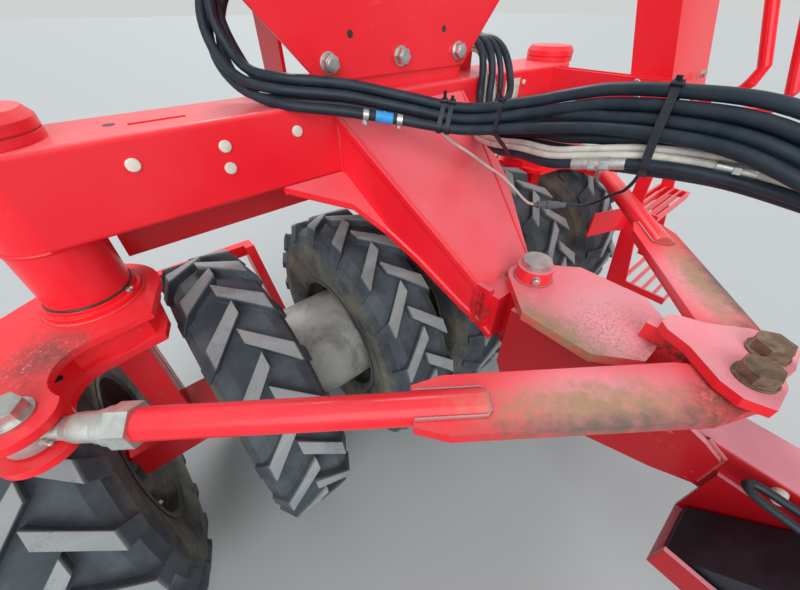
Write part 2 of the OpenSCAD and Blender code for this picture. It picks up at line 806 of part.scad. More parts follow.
module head_sides() {
  lower_z = lower_plate_top - head_plate_t;
  run = side_rear - side_front;
  color(RED) placed() difference() {
    union() {
      for (s = [LEFT, RIGHT]) scale([s, 1, 1]) translate([head_w, side_rear, 0]) rotate([0, 0, -side_turn])
        plate_x(-side_t, 0) polygon([
          [0, lower_z], [-30, head_low], [-200, head_low], [-run + 60, tube_top - tube_h - 6],
          [-run, tube_top - tube_h + 20], [-run, tube_top - 20], [-run + 30, tube_top],
          [-230, head_top - head_plate_t], [0, head_top - head_plate_t]
        ]);
      plate_z(lower_z, lower_plate_top) {
        translate([0, pin_y]) circle(r = tail_r);
        polygon([[-tail_r, pin_y], [tail_r, pin_y], [head_w - side_t, side_rear], [tube_w / 2 + 20, tube_rear_y + weld_gap],
                 [-tube_w / 2 - 20, tube_rear_y + weld_gap], [-head_w + side_t, side_rear]]);
      }
    }
    post(0, pin_y, lower_z - 1, lower_plate_top + 1, pin_r);
  }
}

module drawbar_tube() {
  color(RED) placed()
    plate_y(-(eye_forward - 140), tube_rear_y) round_rect([-tube_w / 2, tube_top - tube_h], [tube_w / 2, tube_top], 8);
}

module drawbar_pin() {
  color(ZINC) placed() {
    post(0, pin_y, lower_plate_top - head_plate_t - 12, head_top + pin_boss_h, pin_r);
    post(0, pin_y, head_top + pin_boss_h, head_top + pin_boss_h + 14, 30);
  }
}

// Steering plate, carried ahead of the head plate, with its two bolts

steer_low = steer_top - steer_t;
rod_b_z = steer_low - spacer_t - bar_t / 2;

module steer_outline() {
  tail_y = -(bolt_forward - 130);
  lobe_w = bolt_out + 54;
  polygon([
    [-26, tail_y - 14], [-12, tail_y], [12, tail_y], [26, tail_y - 14], [40, tail_y - 50],
    [lobe_w - 10, -bolt_forward + 30], [lobe_w, -bolt_forward], [lobe_w - 12, -bolt_forward - 34],
    [24, -bolt_forward - 36], [0, -bolt_forward - 28], [-24, -bolt_forward - 36],
    [-lobe_w + 12, -bolt_forward - 34], [-lobe_w, -bolt_forward], [-lobe_w + 10, -bolt_forward + 30],
    [-40, tail_y - 50]
  ]);
}

module steering_plate() {
  web_front = -(bolt_forward - 75);
  color(RED) placed() difference() {
    union() {
      plate_z(steer_low, steer_top) steer_outline();
      block([-10, web_front, head_top], [10, pin_y - 225, steer_low]);
      block([-10, web_front, tube_top], [10, pin_y - 259, head_top]);
    }
    for (s = [LEFT, RIGHT]) post(s * bolt_out, -bolt_forward, steer_low - 1, steer_top + 1, bolt_r);
  }
}

module steering_bolts() {
  head_r = 26;
  bar_low = rod_b_z - bar_t / 2;
  color(RUST) placed() for (s = [LEFT, RIGHT]) {
    post(s * bolt_out, -bolt_forward, bar_low - 30, steer_top, bolt_r);
    post(s * bolt_out, -bolt_forward, steer_top, steer_top + 4, 28);
    translate([s * bolt_out, -bolt_forward, steer_top + 4]) cylinder(h = 19, r = head_r, $fn = 6);
    translate([s * bolt_out, -bolt_forward, bar_low - 28]) cylinder(h = 22, r = head_r, $fn = 6);
  }
}

// Tie rods: a flat bar at the steering bolt, a tube and a rod end at the arm bolt

rod_a = [arm_x, arm_y, arm_eye_z];
rod_b = [bolt_out, -bolt_forward, rod_b_z];
rod_run = norm([rod_a[0] - rod_b[0], rod_a[1] - rod_b[1]]);
rod_len = norm(rod_a - rod_b);
rod_turn = atan2(rod_a[1] - rod_b[1], rod_a[0] - rod_b[0]);
rod_dip = atan2(rod_b[2] - rod_a[2], rod_run);
rod_end_l = 164;

// Draws along +X from the steering bolt towards the arm bolt
module along_rod(side) {
  on_side(side) translate(rod_b) rotate([0, 0, rod_turn]) rotate([0, rod_dip, 0]) children();
}

module tie_rod(side) {
  color(RED) difference() {
    along_rod(side) {
      plate_z(-bar_t / 2, bar_t / 2) difference() {
        union() {
          circle(r = bar_w * 0.34);
          polygon([[0, -bar_w * 0.34], [70, -bar_w / 2], [bar_l, -bar_w / 2], [bar_l + 50, -bar_w * 0.34],
                   [bar_l + 50, bar_w * 0.34], [bar_l, bar_w / 2], [70, bar_w / 2], [0, bar_w * 0.34]]);
        }
      }
      bar_x(bar_l - 60, rod_len - rod_end_l, 0, 0, rod_r);
    }
    on_side(side) post(bolt_out, -bolt_forward, rod_b_z - 60, rod_b_z + 60, bolt_r + fit_gap);
  }
}

module rod_end(side) {
  eye_t = 34;
  eye_out = arm_bolt_r + eye_room + 14;
  color(ZINC) difference() {
    union() {
      on_side(side) post(arm_x, arm_y, arm_eye_z - eye_t / 2, arm_eye_z + eye_t / 2, eye_out);
      along_rod(side) {
        bar_x(rod_len - rod_end_l + 34, rod_len - 24, 0, 0, 17);
        translate([rod_len - rod_end_l, 0, 0]) rotate([0, 90, 0]) cylinder(h = 34, r = 34, $fn = 6);
      }
    }
    on_side(side) post(arm_x, arm_y, arm_eye_z - eye_t, arm_eye_z + eye_t, arm_bolt_r + eye_room);
  }
}

// Towing eye

module towing_eye() {
  eye_z = tube_top - tube_h / 2;
  eye_t = 30;
  back_y = -(eye_forward - 140);
  color(RED) placed() difference() {
    union() {
      post(0, -eye_forward, eye_z - eye_t / 2, eye_z + eye_t / 2, eye_rim);
      translate([0, back_y, eye_z]) rotate([90, 0, 0]) cylinder(h = 100, r = 26);
      block([-tube_w / 2, back_y - 12, tube_top - tube_h], [tube_w / 2, back_y, tube_top]);
    }
    post(0, -eye_forward, eye_z - eye_t, eye_z + eye_t, eye_r);
  }
}

// Parking jack on the left of the drawbar

jack_x = -(tube_w / 2 + 12 + jack_r);
jack_low = 400;
jack_high = 960;
jack_wall = 6;

module jack_housing() {
  color(DARK_RED) placed() difference() {
    union() {
      post(jack_x, -jack_forward, jack_low, jack_high, jack_r);
      block([jack_x, -jack_forward - 45, tube_top - tube_h], [-tube_w / 2, -jack_forward + 45, tube_top]);
    }
    post(jack_x, -jack_forward, jack_low - 1, jack_high - 12, jack_leg_r + fit_gap);
  }
}

module jack_leg() {
  foot_r = 90;
  color(ZINC) placed() {
    post(jack_x, -jack_forward, 8, jack_low + 130, jack_leg_r);
    post(jack_x, -jack_forward, 0, 8, foot_r);
  }
}

// Wheel chock in its holder on the left of the drawbar

chock_y = -1030;

module chock_holder() {
  color(RED) placed() {
    block([-tube_w / 2 - 8, chock_y - 90, 560], [-tube_w / 2, chock_y + 90, 700]);
    block([-tube_w / 2 - 130, chock_y - 90, 560], [-tube_w / 2 - 8, chock_y + 90, 568]);
    block([-tube_w / 2 - 138, chock_y - 90, 560], [-tube_w / 2 - 130, chock_y + 90, 620]);
  }
}

module wheel_chock() {
  color(RUBBER) placed() translate([-tube_w / 2 - 125, 0, 0]) plate_x(0, 110)
    polygon([[chock_y - 80, 568], [chock_y + 80, 568], [chock_y + 80, 590], [chock_y - 30, 720], [chock_y - 80, 720]]);
}

// Hoses, clipped together along their way

// Tube of radius r along points, sides sides
function ring(p, d, r, n) = let (
    u = d / norm(d),
    a = abs(u[2]) < 0.9 ? cross(u, [0, 0, 1]) : cross(u, [1, 0, 0]),
    v = a / norm(a),
    w = cross(u, v)
  ) [for (k = [0:n - 1]) p + r * cos(360 * k / n) * v + r * sin(360 * k / n) * w];

module sweep(path, r, n) {
  last = len(path) - 1;
  dirs = [for (i = [0:last]) path[min(i + 1, last)] - path[max(i - 1, 0)]];
  points = [for (i = [0:last]) each ring(path[i], dirs[i], r, n)];
  sides = [for (i = [0:last - 1], k = [0:n - 1])
    [i * n + k, i * n + (k + 1) % n, (i + 1) * n + (k + 1) % n, (i + 1) * n + k]];
  ends = [[for (k = [n - 1:-1:0]) k], [for (k = [0:n - 1]) last * n + k]];
  polyhedron(points = points, faces = concat(ends, sides));
}

hose_frame_path = [
  [-236, 110, 1330], [-266, 110, 1330], [-312, 107, 1318], [-347, 92, 1278], [-352, 60, 1225], [-336, 10, 1188],
  [-298, -60, 1181], [-200, -130, 1172], [-110, -200, 1150], [-40, -300, 1135], [5, -400, 1150],
  [20, -485, 1165]
];
hose_drawbar_path = [
  [28, -535, 1172], [32, -620, 1180], [36, -720, 1178], [40, -830, 1150], [42, -950, 1110],
  [42, -1070, 1085], [40, -1190, 1080], [40, -1336, 1080]
];

// Four thinner hoses that loop over the beam on the right and join the bundle
loop_x = 312;
loop_plate_y = 30;
hose_loop_path = [
  [loop_x, loop_plate_y - 1, 1226], [loop_x, -5, 1226], [loop_x, -50, 1222], [304, -90, 1196],
  [296, -114, 1150], [280, -130, 1105], [240, -152, 1075], [180, -190, 1064], [120, -250, 1066],
  [80, -330, 1080], [54, -410, 1096], [30, -485, 1106]
];

hose_loop_drawbar_path = [
  [30, -535, 1112], [44, -620, 1120], [66, -720, 1124], [88, -830, 1112], [100, -950, 1090],
  [102, -1070, 1072], [98, -1190, 1078], [98, -1336, 1078]
];
loop_r = bundle_r * 0.62;

module hoses_frame() {
  color(RUBBER) placed() {
    sweep(hose_frame_path, bundle_r, 10);
    sweep(hose_loop_path, loop_r, 8);
  }
}

module hoses_drawbar() {
  color(RUBBER) placed() {
    sweep(hose_drawbar_path, bundle_r, 10);
    sweep(hose_loop_drawbar_path, loop_r, 8);
  }
}

module hose_bulkhead() {
  foot_t = 8;
  color(DARK_RED) placed() {
    block([-235, 60, beam_top], [-227, 160, beam_top + 245]);
    block([-227, 60, beam_top], [-180, 160, beam_top + foot_t]);
    block([loop_x - 45, loop_plate_y, beam_top], [loop_x + 45, loop_plate_y + 8, beam_top + 112]);
    block([loop_x - 45, loop_plate_y + 8, beam_top], [loop_x + 45, loop_plate_y + 46, beam_top + foot_t]);
  }
}

module hose_holder() {
  holder_y = -1300;
  shelf_z = tube_top + 256;
  color(DARK_RED) placed() {
    post(0, holder_y - 20, tube_top, shelf_z + 30, 16);
    block([-60, holder_y - 44, shelf_z], [120, holder_y - 36, shelf_z + 140]);
    block([-60, holder_y - 36, shelf_z], [120, holder_y, shelf_z + 8]);
  }
}

cross_beam();
kingpin_housings();
kingpin_caps();
gooseneck();
drawbar_boss();
rear_plate();
tower_sheet();
tower_upstand();
frame_stub();
step_bracket();
ladder_post();
steps();
step_guard();
handrails();
hose_bulkhead();
hoses_frame();
kingpin(LEFT);  // kingpin_left
steering_arm(LEFT);  // steering_arm_left
arm_bolt(LEFT);  // arm_bolt_left
axle(LEFT);  // axle_left
scraper(LEFT);  // scraper_left
kingpin(RIGHT);  // kingpin_right
steering_arm(RIGHT);  // steering_arm_right
arm_bolt(RIGHT);  // arm_bolt_right
axle(RIGHT);  // axle_right
scraper(RIGHT);  // scraper_right
color(RUBBER) on_side(LEFT) tyre(outer_x);  // tyre_left_outer
wheel_outer(LEFT);  // wheel_left_outer
color(RUBBER) on_side(LEFT) for (x = [middle_x, inner_x]) tyre(x);  // tyres_left_inner
color(CREAM) on_side(LEFT) pair_rims();  // rims_left_inner
drum(LEFT);  // drum_left
color(RUBBER) on_side(RIGHT) tyre(outer_x);  // tyre_right_outer
wheel_outer(RIGHT);  // wheel_right_outer
color(RUBBER) on_side(RIGHT) for (x = [middle_x, inner_x]) tyre(x);  // tyres_right_inner
color(CREAM) on_side(RIGHT) pair_rims();  // rims_right_inner
drum(RIGHT);  // drum_right
head_plate();
head_sides();
drawbar_tube();
drawbar_pin();
steering_plate();
steering_bolts();
towing_eye();
jack_housing();
chock_holder();
wheel_chock();
hose_holder();
hoses_drawbar();
tie_rod(LEFT);  // tie_rod_left
rod_end(LEFT);  // rod_end_left
tie_rod(RIGHT);  // tie_rod_right
rod_end(RIGHT);  // rod_end_right
jack_leg();
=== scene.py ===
"""The steered front carriage of a folded seed drill: its finishes and small parts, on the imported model."""

import math

import bmesh
import bpy
from mathutils import Matrix, Vector
from mathutils.geometry import convex_hull_2d, interpolate_bezier


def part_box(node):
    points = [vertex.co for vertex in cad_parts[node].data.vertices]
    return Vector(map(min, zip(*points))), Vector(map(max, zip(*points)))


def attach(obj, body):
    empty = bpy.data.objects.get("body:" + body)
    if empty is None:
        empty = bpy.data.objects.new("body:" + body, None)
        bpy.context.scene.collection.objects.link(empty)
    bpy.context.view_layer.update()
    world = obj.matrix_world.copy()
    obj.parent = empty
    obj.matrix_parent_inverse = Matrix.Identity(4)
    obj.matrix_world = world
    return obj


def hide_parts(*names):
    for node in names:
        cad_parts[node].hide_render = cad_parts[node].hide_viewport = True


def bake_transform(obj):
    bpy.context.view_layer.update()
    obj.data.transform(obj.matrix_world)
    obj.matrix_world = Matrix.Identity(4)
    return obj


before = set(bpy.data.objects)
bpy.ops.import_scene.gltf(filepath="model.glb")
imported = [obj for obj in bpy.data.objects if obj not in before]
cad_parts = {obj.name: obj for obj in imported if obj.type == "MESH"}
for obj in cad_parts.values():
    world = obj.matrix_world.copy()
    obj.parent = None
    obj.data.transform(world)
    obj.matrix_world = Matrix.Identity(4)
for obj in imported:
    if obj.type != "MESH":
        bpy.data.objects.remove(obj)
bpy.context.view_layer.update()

# Lengths are in millimetres from the floor, with Y measured from the kingpins, as in the part's source
MM = 0.001
kingpin_low, kingpin_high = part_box("kingpin_left")
KINGPIN_Y = (kingpin_low.y + kingpin_high.y) / 2

SIDES = {"left": -1, "right": 1}
KINGPIN_X = 740
BEAM_TOP = 1145
BEAM_FRONT = -82.5
AXLE_Z = 405
WHEEL_X = {"outer": 940, "middle": 540, "inner": 155}
OUTER_HUB_FACE = 998
TOWER_FACE = -60
TOWER_BOLT_Z = 1207
HEAD_TOP = 838
ARM_TOP = 857
BAR_TOP = 861
COLLAR_TOP = 880
PIN_Y = -511


def place(x, y, z):
    """A point on the carriage, in metres in the model's frame."""
    return Vector((x * MM, y * MM + KINGPIN_Y, z * MM))


# Camera

EYE = (-616.5, -785, 1300)
LOOKS_ALONG = Vector((0.4933, 0.5817, -0.6468))
ACROSS = Vector((0.7627, -0.6468, 0))
SENSOR_WIDTH, FOCAL_LENGTH, NEAREST = 36, 15.525, 0.02


def make_camera():
    lens = bpy.data.cameras.new("photo_camera")
    lens.sensor_width = SENSOR_WIDTH
    lens.lens = FOCAL_LENGTH
    lens.clip_start = NEAREST
    camera = bpy.data.objects.new("photo_camera", lens)
    bpy.context.scene.collection.objects.link(camera)
    up = ACROSS.cross(LOOKS_ALONG)
    turned = Matrix((ACROSS, up, -LOOKS_ALONG)).transposed().to_4x4()
    camera.matrix_world = Matrix.Translation(place(*EYE)) @ turned
    bpy.context.scene.camera = camera


make_camera()


# Node wiring


def feed(tree, socket, value):
    """Links another node's output to a socket, or sets the socket to a plain value."""
    if isinstance(value, bpy.types.NodeSocket):
        tree.links.new(value, socket)
    else:
        socket.default_value = value


def add_node(tree, kind, inputs=(), **settings):
    """A node with its settings; each input is a value or another node's output."""
    node = tree.nodes.new(kind)
    for name, value in settings.items():
        setattr(node, name, value)
    for socket, value in dict(inputs).items():
        feed(tree, node.inputs[socket], value)
    return node


def calc(tree, operation, *values, clamp=False):
    node = add_node(tree, "ShaderNodeMath", dict(enumerate(values)), operation=operation, use_clamp=clamp)
    return node.outputs[0]


def times(tree, a, b, clamp=False):
    return calc(tree, "MULTIPLY", a, b, clamp=clamp)


def weighed(tree, first, share, second):
    """The first value by its share and the second by the rest, added."""
    return calc(tree, "ADD", times(tree, first, share), times(tree, second, 1 - share))


def vector_calc(tree, operation, *values):
    node = add_node(tree, "ShaderNodeVectorMath", dict(enumerate(values)), operation=operation)
    return node.outputs["Value" if operation in ("LENGTH", "DOT_PRODUCT") else "Vector"]


def noise(tree, vector, scale, detail, roughness=0.55, distortion=0.0):
    inputs = {"Vector": vector, "Scale": scale, "Detail": detail, "Roughness": roughness}
    inputs["Distortion"] = distortion
    return add_node(tree, "ShaderNodeTexNoise", inputs).outputs["Fac"]


def span(tree, value, low, high, to_low=0.0, to_high=1.0):
    """The value's place between low and high, smoothly from to_low to to_high."""
    inputs = {"Value": value, "From Min": low, "From Max": high, "To Min": to_low, "To Max": to_high}
    node = add_node(tree, "ShaderNodeMapRange", inputs, interpolation_type="SMOOTHSTEP")
    return node.outputs["Result"]


def mix(tree, share, a, b):
    return add_node(tree, "ShaderNodeMix", {0: share, 6: a, 7: b}, data_type="RGBA").outputs[2]


def stretched(tree, vector, scale, turn):
    inputs = {"Vector": vector, "Scale": scale, "Rotation": turn}
    return add_node(tree, "ShaderNodeMapping", inputs).outputs["Vector"]


def looks_up(tree):
    """How far a face looks upwards: the Z of its normal."""
    normal = add_node(tree, "ShaderNodeNewGeometry").outputs["Normal"]
    return add_node(tree, "ShaderNodeSeparateXYZ", {0: normal}).outputs["Z"]


def new_effect(name, inputs, outputs):
    """A shader node group with named sockets, and the nodes at its two ends."""
    tree = bpy.data.node_groups.new(name, "ShaderNodeTree")
    for socket, kind, value in inputs:
        made = tree.interface.new_socket(socket, in_out="INPUT", socket_type=f"NodeSocket{kind}")
        if value is not None:
            made.default_value = value
    for socket, kind in outputs:
        tree.interface.new_socket(socket, in_out="OUTPUT", socket_type=f"NodeSocket{kind}")
    return tree, tree.nodes.new("NodeGroupInput").outputs, tree.nodes.new("NodeGroupOutput").inputs


def rounded_edges_effect():
    """Softens edges in the shading and finds where they are."""
    tree, given, made = new_effect(
        "rounded edges", [("Width", "Float", 0.002)], [("Normal", "Vector"), ("Edge", "Float")]
    )
    soft = add_node(tree, "ShaderNodeBevel", {"Radius": given["Width"]}, samples=4).outputs[0]
    flat = add_node(tree, "ShaderNodeNewGeometry").outputs["True Normal"]
    tree.links.new(soft, made["Normal"])
    tree.links.new(span(tree, vector_calc(tree, "DOT_PRODUCT", soft, flat), 0.995, 0.90), made["Edge"])
    return tree


def edge_wear_effect():
    """Where handling and stones take the paint off: along edges, broken up by noise."""
    tree, given, made = new_effect(
        "edge wear",
        [("Vector", "Vector", None), ("Edge", "Float", 0.0), ("Amount", "Float", 0.5)],
        [("Wear", "Float"), ("Chips", "Float")],
    )
    where, amount = given["Vector"], given["Amount"]
    mixed = weighed(tree, noise(tree, where, 9, 3), 0.6, noise(tree, where, 160, 4, 0.7))
    limit = calc(tree, "SUBTRACT", 0.72, times(tree, amount, 0.32))
    worn = span(tree, calc(tree, "SUBTRACT", mixed, limit), 0.0, 0.05)
    tree.links.new(times(tree, worn, given["Edge"], clamp=True), made["Wear"])
    few = calc(tree, "SUBTRACT", 0.83, times(tree, amount, 0.14))
    chips = calc(tree, "SUBTRACT", noise(tree, where, 70, 5, 0.75, 0.6), few)
    tree.links.new(span(tree, chips, 0.0, 0.012), made["Chips"])
    return tree


def settled_dust_effect():
    """Dust on faces that look up, thicker in patches."""
    tree, given, made = new_effect(
        "settled dust",
        [("Vector", "Vector", None), ("Amount", "Float", 0.5), ("Scale", "Float", 4.0)],
        [("Dust", "Float"), ("Specks", "Float")],
    )
    where, amount = given["Vector"], given["Amount"]
    lies = span(tree, looks_up(tree), 0.25, 0.9, 0.12, 1.0)
    cloud = noise(tree, where, given["Scale"], 5, 0.6, 0.4)
    patch = span(tree, weighed(tree, cloud, 0.75, noise(tree, where, 210, 2)), 0.36, 0.68)
    tree.links.new(times(tree, times(tree, patch, lies), amount, clamp=True), made["Dust"])
    cells = add_node(tree, "ShaderNodeTexVoronoi", {"Vector": where, "Scale": 120.0, "Randomness": 1.0})
    specks = span(tree, cells.outputs["Distance"], 0.20, 0.10)
    rare = span(tree, noise(tree, where, 30, 3), 0.5, 0.62)
    shown = times(tree, times(tree, specks, rare), times(tree, lies, amount))
    tree.links.new(shown, made["Specks"])
    return tree


def scratches_effect():
    """Fine light scratches in two directions."""
    tree, given, made = new_effect(
        "scratches", [("Vector", "Vector", None), ("Amount", "Float", 0.5)], [("Scratch", "Float")]
    )
    masks = []
    for scale, turn in (((260, 9, 60), (0.3, 0.2, 0.5)), ((12, 240, 90), (0.2, 0.5, -0.4))):
        lines = noise(tree, stretched(tree, given["Vector"], scale, turn), 1.0, 2, 0.4)
        masks.append(span(tree, lines, 0.70, 0.76))
    rare = span(tree, noise(tree, given["Vector"], 6, 3), 0.48, 0.62)
    shown = times(tree, calc(tree, "MAXIMUM", *masks), rare)
    tree.links.new(times(tree, shown, given["Amount"]), made["Scratch"])
    return tree


def paint_skin_effect():
    """Sprayed paint: slow changes of tone and a faint orange peel."""
    outputs = [("Tone", "Float"), ("Height", "Float")]
    tree, given, made = new_effect("paint skin", [("Vector", "Vector", None)], outputs)
    tree.links.new(span(tree, noise(tree, given["Vector"], 3, 4, 0.5), 0.3, 0.7), made["Tone"])
    peel = times(tree, noise(tree, given["Vector"], 320, 2, 0.4), 0.25)
    waves = noise(tree, given["Vector"], 22, 2, 0.4)
    tree.links.new(calc(tree, "ADD", peel, waves), made["Height"])
    return tree


def rust_spots_effect():
    inputs = [("Vector", "Vector", None), ("Amount", "Float", 0.5), ("Scale", "Float", 14.0)]
    tree, given, made = new_effect("rust spots", inputs, [("Rust", "Float")])
    wide = noise(tree, given["Vector"], given["Scale"], 5, 0.7, 0.8)
    mixed = weighed(tree, wide, 0.7, noise(tree, given["Vector"], 90, 4, 0.7))
    limit = calc(tree, "SUBTRACT", 0.75, times(tree, given["Amount"], 0.35))
    tree.links.new(span(tree, calc(tree, "SUBTRACT", mixed, limit), 0.0, 0.07), made["Rust"])
    return tree


EFFECTS = {
    "rounded": rounded_edges_effect(),
    "wear": edge_wear_effect(),
    "dust": settled_dust_effect(),
    "scratches": scratches_effect(),
    "skin": paint_skin_effect(),
    "rust": rust_spots_effect(),
}


def effect(tree, name, **inputs):
    return add_node(tree, "ShaderNodeGroup", inputs, node_tree=EFFECTS[name]).outputs


def new_finish(name):
    """A material with its shader, and the object's own coordinates."""
    finish = bpy.data.materials.new(name)
    finish.use_nodes = True
    tree = finish.node_tree
    where = add_node(tree, "ShaderNodeTexCoord").outputs["Object"]
    return finish, tree, tree.nodes["Principled BSDF"], where


def set_inputs(tree, shader, **inputs):
    for name, value in inputs.items():
        feed(tree, shader.inputs[name.replace("_", " ")], value)


def bumped(tree, height, normal, strength, distance):
    inputs = {"Height": height, "Strength": strength, "Distance": distance}
    if normal is not None:
        inputs["Normal"] = normal
    return add_node(tree, "ShaderNodeBump", inputs).outputs["Normal"]


# Finishes

RED = (0.80, 0.006, 0.018, 1)
# Painted sky reflection: the pale pink laid on the red where faces look up
SKY_REFLECTION = (0.80, 0.36, 0.42, 1)
DUST = (0.42, 0.36, 0.28, 1)
PALE_DUST = (0.40, 0.43, 0.44, 1)
SOIL = (0.16, 0.105, 0.06, 1)
RUST = (0.20, 0.065, 0.022, 1)
PRIMER = (0.23, 0.20, 0.18, 1)


def stain(tree, where, spot, size, grain, turn=0, cover=0.42):
    """A patch round a spot on the carriage, turned about Z, thinning out to its size, broken up by noise."""
    away = vector_calc(tree, "SUBTRACT", where, place(*spot))
    away = stretched(tree, away, (1, 1, 1), (0, 0, math.radians(-turn)))
    reach = vector_calc(tree, "LENGTH", vector_calc(tree, "DIVIDE", away, Vector(size) * MM))
    grown = calc(tree, "ADD", reach, times(tree, noise(tree, where, grain * 0.35, 4, 0.6), 0.9))
    broken = span(tree, noise(tree, where, grain, 5, 0.75), cover, cover + 0.16)
    return times(tree, span(tree, grown, 1.25, 0.45), broken)


def sky_reflection_mask(tree, where):
    """Painted sky reflection: a pale pink on faces that look up, in patches."""
    cloud = span(tree, noise(tree, where, 5, 3, 0.5), 0.25, 0.75, 0.6, 1.0)
    return times(tree, span(tree, looks_up(tree), 0.45, 1.0), cloud)


def shade(colour, factor, lift=0.0):
    """A lighter or darker shade of a colour."""
    return (*(min(c * factor + lift, 1) for c in colour[:3]), 1)


def red_paint(
    name, colour=RED, dust=0.3, wear=0.35, scratches=0.4, bleach=0.25, gloss=0.27, sky_sheen=0.25, stains_and_sheens=()
):
    finish, tree, shader, where = new_finish(name)
    rounded = effect(tree, "rounded", Width=0.0022)
    skin = effect(tree, "skin", Vector=where)
    worn = effect(tree, "wear", Vector=where, Edge=rounded["Edge"], Amount=wear)
    dusty = effect(tree, "dust", Vector=where, Amount=dust)
    marks = effect(tree, "scratches", Vector=where, Amount=scratches)["Scratch"]
    pale = (min(colour[0] * 1.15, 1), colour[1] + 0.055, colour[2] + 0.065, 1)
    tone = mix(tree, times(tree, skin["Tone"], bleach), colour, pale)
    # Painted sky reflection: pale pink mixed in on faces that look up
    tone = mix(tree, times(tree, sky_reflection_mask(tree, where), sky_sheen), tone, SKY_REFLECTION)
    tone = mix(tree, times(tree, marks, 0.6), tone, (0.62, 0.30, 0.28, 1))
    stain_sheen_mask = 0.0
    # Stains, with painted sky reflections among them where the colour laid on is a pale pink
    for spot, size, soil, strength, *spread in stains_and_sheens:
        mask = times(tree, stain(tree, where, spot, size, *spread), strength)
        tone = mix(tree, mask, tone, soil)
        stain_sheen_mask = calc(tree, "MAXIMUM", mask, stain_sheen_mask)
    tone = mix(tree, worn["Wear"], tone, PRIMER)
    tone = mix(tree, worn["Chips"], tone, RUST)
    tone = mix(tree, times(tree, dusty["Dust"], 0.62), tone, DUST)
    tone = mix(tree, dusty["Specks"], tone, SOIL)
    dull = calc(tree, "MAXIMUM", worn["Wear"], worn["Chips"])
    dull = calc(tree, "MAXIMUM", dusty["Dust"], dull)
    dull = calc(tree, "MAXIMUM", dull, stain_sheen_mask)
    rough = span(tree, dull, 0.0, 0.8, gloss, 0.75)
    lost = calc(tree, "ADD", worn["Wear"], worn["Chips"])
    height = calc(tree, "SUBTRACT", times(tree, skin["Height"], 0.12), lost)
    set_inputs(
        tree,
        shader,
        Base_Color=tone,
        Roughness=calc(tree, "ADD", rough, times(tree, skin["Tone"], 0.08)),
        Normal=bumped(tree, height, rounded["Normal"], 0.35, 0.0004),
        Coat_Weight=0.12,
        Coat_Roughness=0.12,
        Specular_IOR_Level=0.3,
    )
    return finish


def zinc_steel(name, rust=0.15, dust=0.3, tone=(0.62, 0.64, 0.62, 1), rough=0.38):
    finish, tree, shader, where = new_finish(name)
    rounded = effect(tree, "rounded", Width=0.0012)
    rusty = effect(tree, "rust", Vector=where, Amount=rust, Scale=30.0)["Rust"]
    dusty = effect(tree, "dust", Vector=where, Amount=dust, Scale=18.0)["Dust"]
    blotch = noise(tree, where, 45, 4, 0.6)
    base = mix(tree, span(tree, blotch, 0.3, 0.7), tone, shade(tone, 0.72))
    base = mix(tree, rusty, base, RUST)
    base = mix(tree, times(tree, dusty, 0.7), base, DUST)
    dull = calc(tree, "MAXIMUM", rusty, dusty)
    uneven = calc(tree, "ADD", dull, times(tree, blotch, 0.3))
    set_inputs(
        tree,
        shader,
        Base_Color=base,
        Metallic=span(tree, dull, 0.1, 0.7, 0.9, 0.0),
        Roughness=span(tree, uneven, 0.1, 0.9, rough, 0.85),
        Normal=bumped(tree, noise(tree, where, 260, 3), rounded["Normal"], 0.18, 0.0003),
    )
    return finish


def brown_steel(name):
    """Old bolts: brown rust over steel, grey where a spanner sat."""
    finish, tree, shader, where = new_finish(name)
    rounded = effect(tree, "rounded", Width=0.0015)
    blotch = noise(tree, where, 60, 5, 0.7, 0.5)
    base = mix(tree, span(tree, blotch, 0.32, 0.68), (0.115, 0.072, 0.045, 1), (0.25, 0.17, 0.11, 1))
    rubbed = times(tree, rounded["Edge"], span(tree, noise(tree, where, 110, 3), 0.45, 0.6))
    base = mix(tree, rubbed, base, (0.42, 0.38, 0.33, 1))
    set_inputs(
        tree,
        shader,
        Base_Color=base,
        Metallic=0.35,
        Roughness=span(tree, blotch, 0.3, 0.7, 0.5, 0.8),
        Normal=bumped(tree, noise(tree, where, 190, 5, 0.7), rounded["Normal"], 0.5, 0.0006),
    )
    return finish


def tyre_rubber(name):
    """Blue-black rubber, dusty on the lugs, with soil left on the sidewalls."""
    finish, tree, shader, where = new_finish(name)
    rounded = effect(tree, "rounded", Width=0.003)
    centred = vector_calc(tree, "SUBTRACT", where, (0, KINGPIN_Y, AXLE_Z * MM))
    radius = vector_calc(tree, "LENGTH", vector_calc(tree, "MULTIPLY", centred, (0, 1, 1)))
    lug = span(tree, radius, 0.392, 0.403)
    side = span(tree, radius, 0.375, 0.30)
    cloud = noise(tree, where, 11, 5, 0.65, 0.3)
    grit = noise(tree, where, 240, 3, 0.6)
    scuffed = span(tree, weighed(tree, cloud, 0.65, grit), 0.28, 0.52, 0.45, 1.0)
    base = mix(tree, span(tree, cloud, 0.3, 0.7), (0.034, 0.045, 0.056, 1), (0.082, 0.100, 0.116, 1))
    base = mix(tree, times(tree, lug, scuffed), base, (0.285, 0.305, 0.305, 1))
    soil = times(tree, side, span(tree, noise(tree, where, 7, 5, 0.7), 0.38, 0.62))
    base = mix(tree, times(tree, soil, 0.8), base, (0.23, 0.215, 0.155, 1))
    base = mix(tree, times(tree, rounded["Edge"], 0.35), base, (0.20, 0.22, 0.235, 1))
    fine = calc(tree, "ADD", times(tree, grit, 0.5), noise(tree, where, 60, 4, 0.6))
    set_inputs(
        tree,
        shader,
        Base_Color=base,
        Roughness=span(tree, cloud, 0.3, 0.7, 0.62, 0.85),
        Normal=bumped(tree, fine, rounded["Normal"], 0.35, 0.0008),
        Specular_IOR_Level=0.4,
    )
    return finish


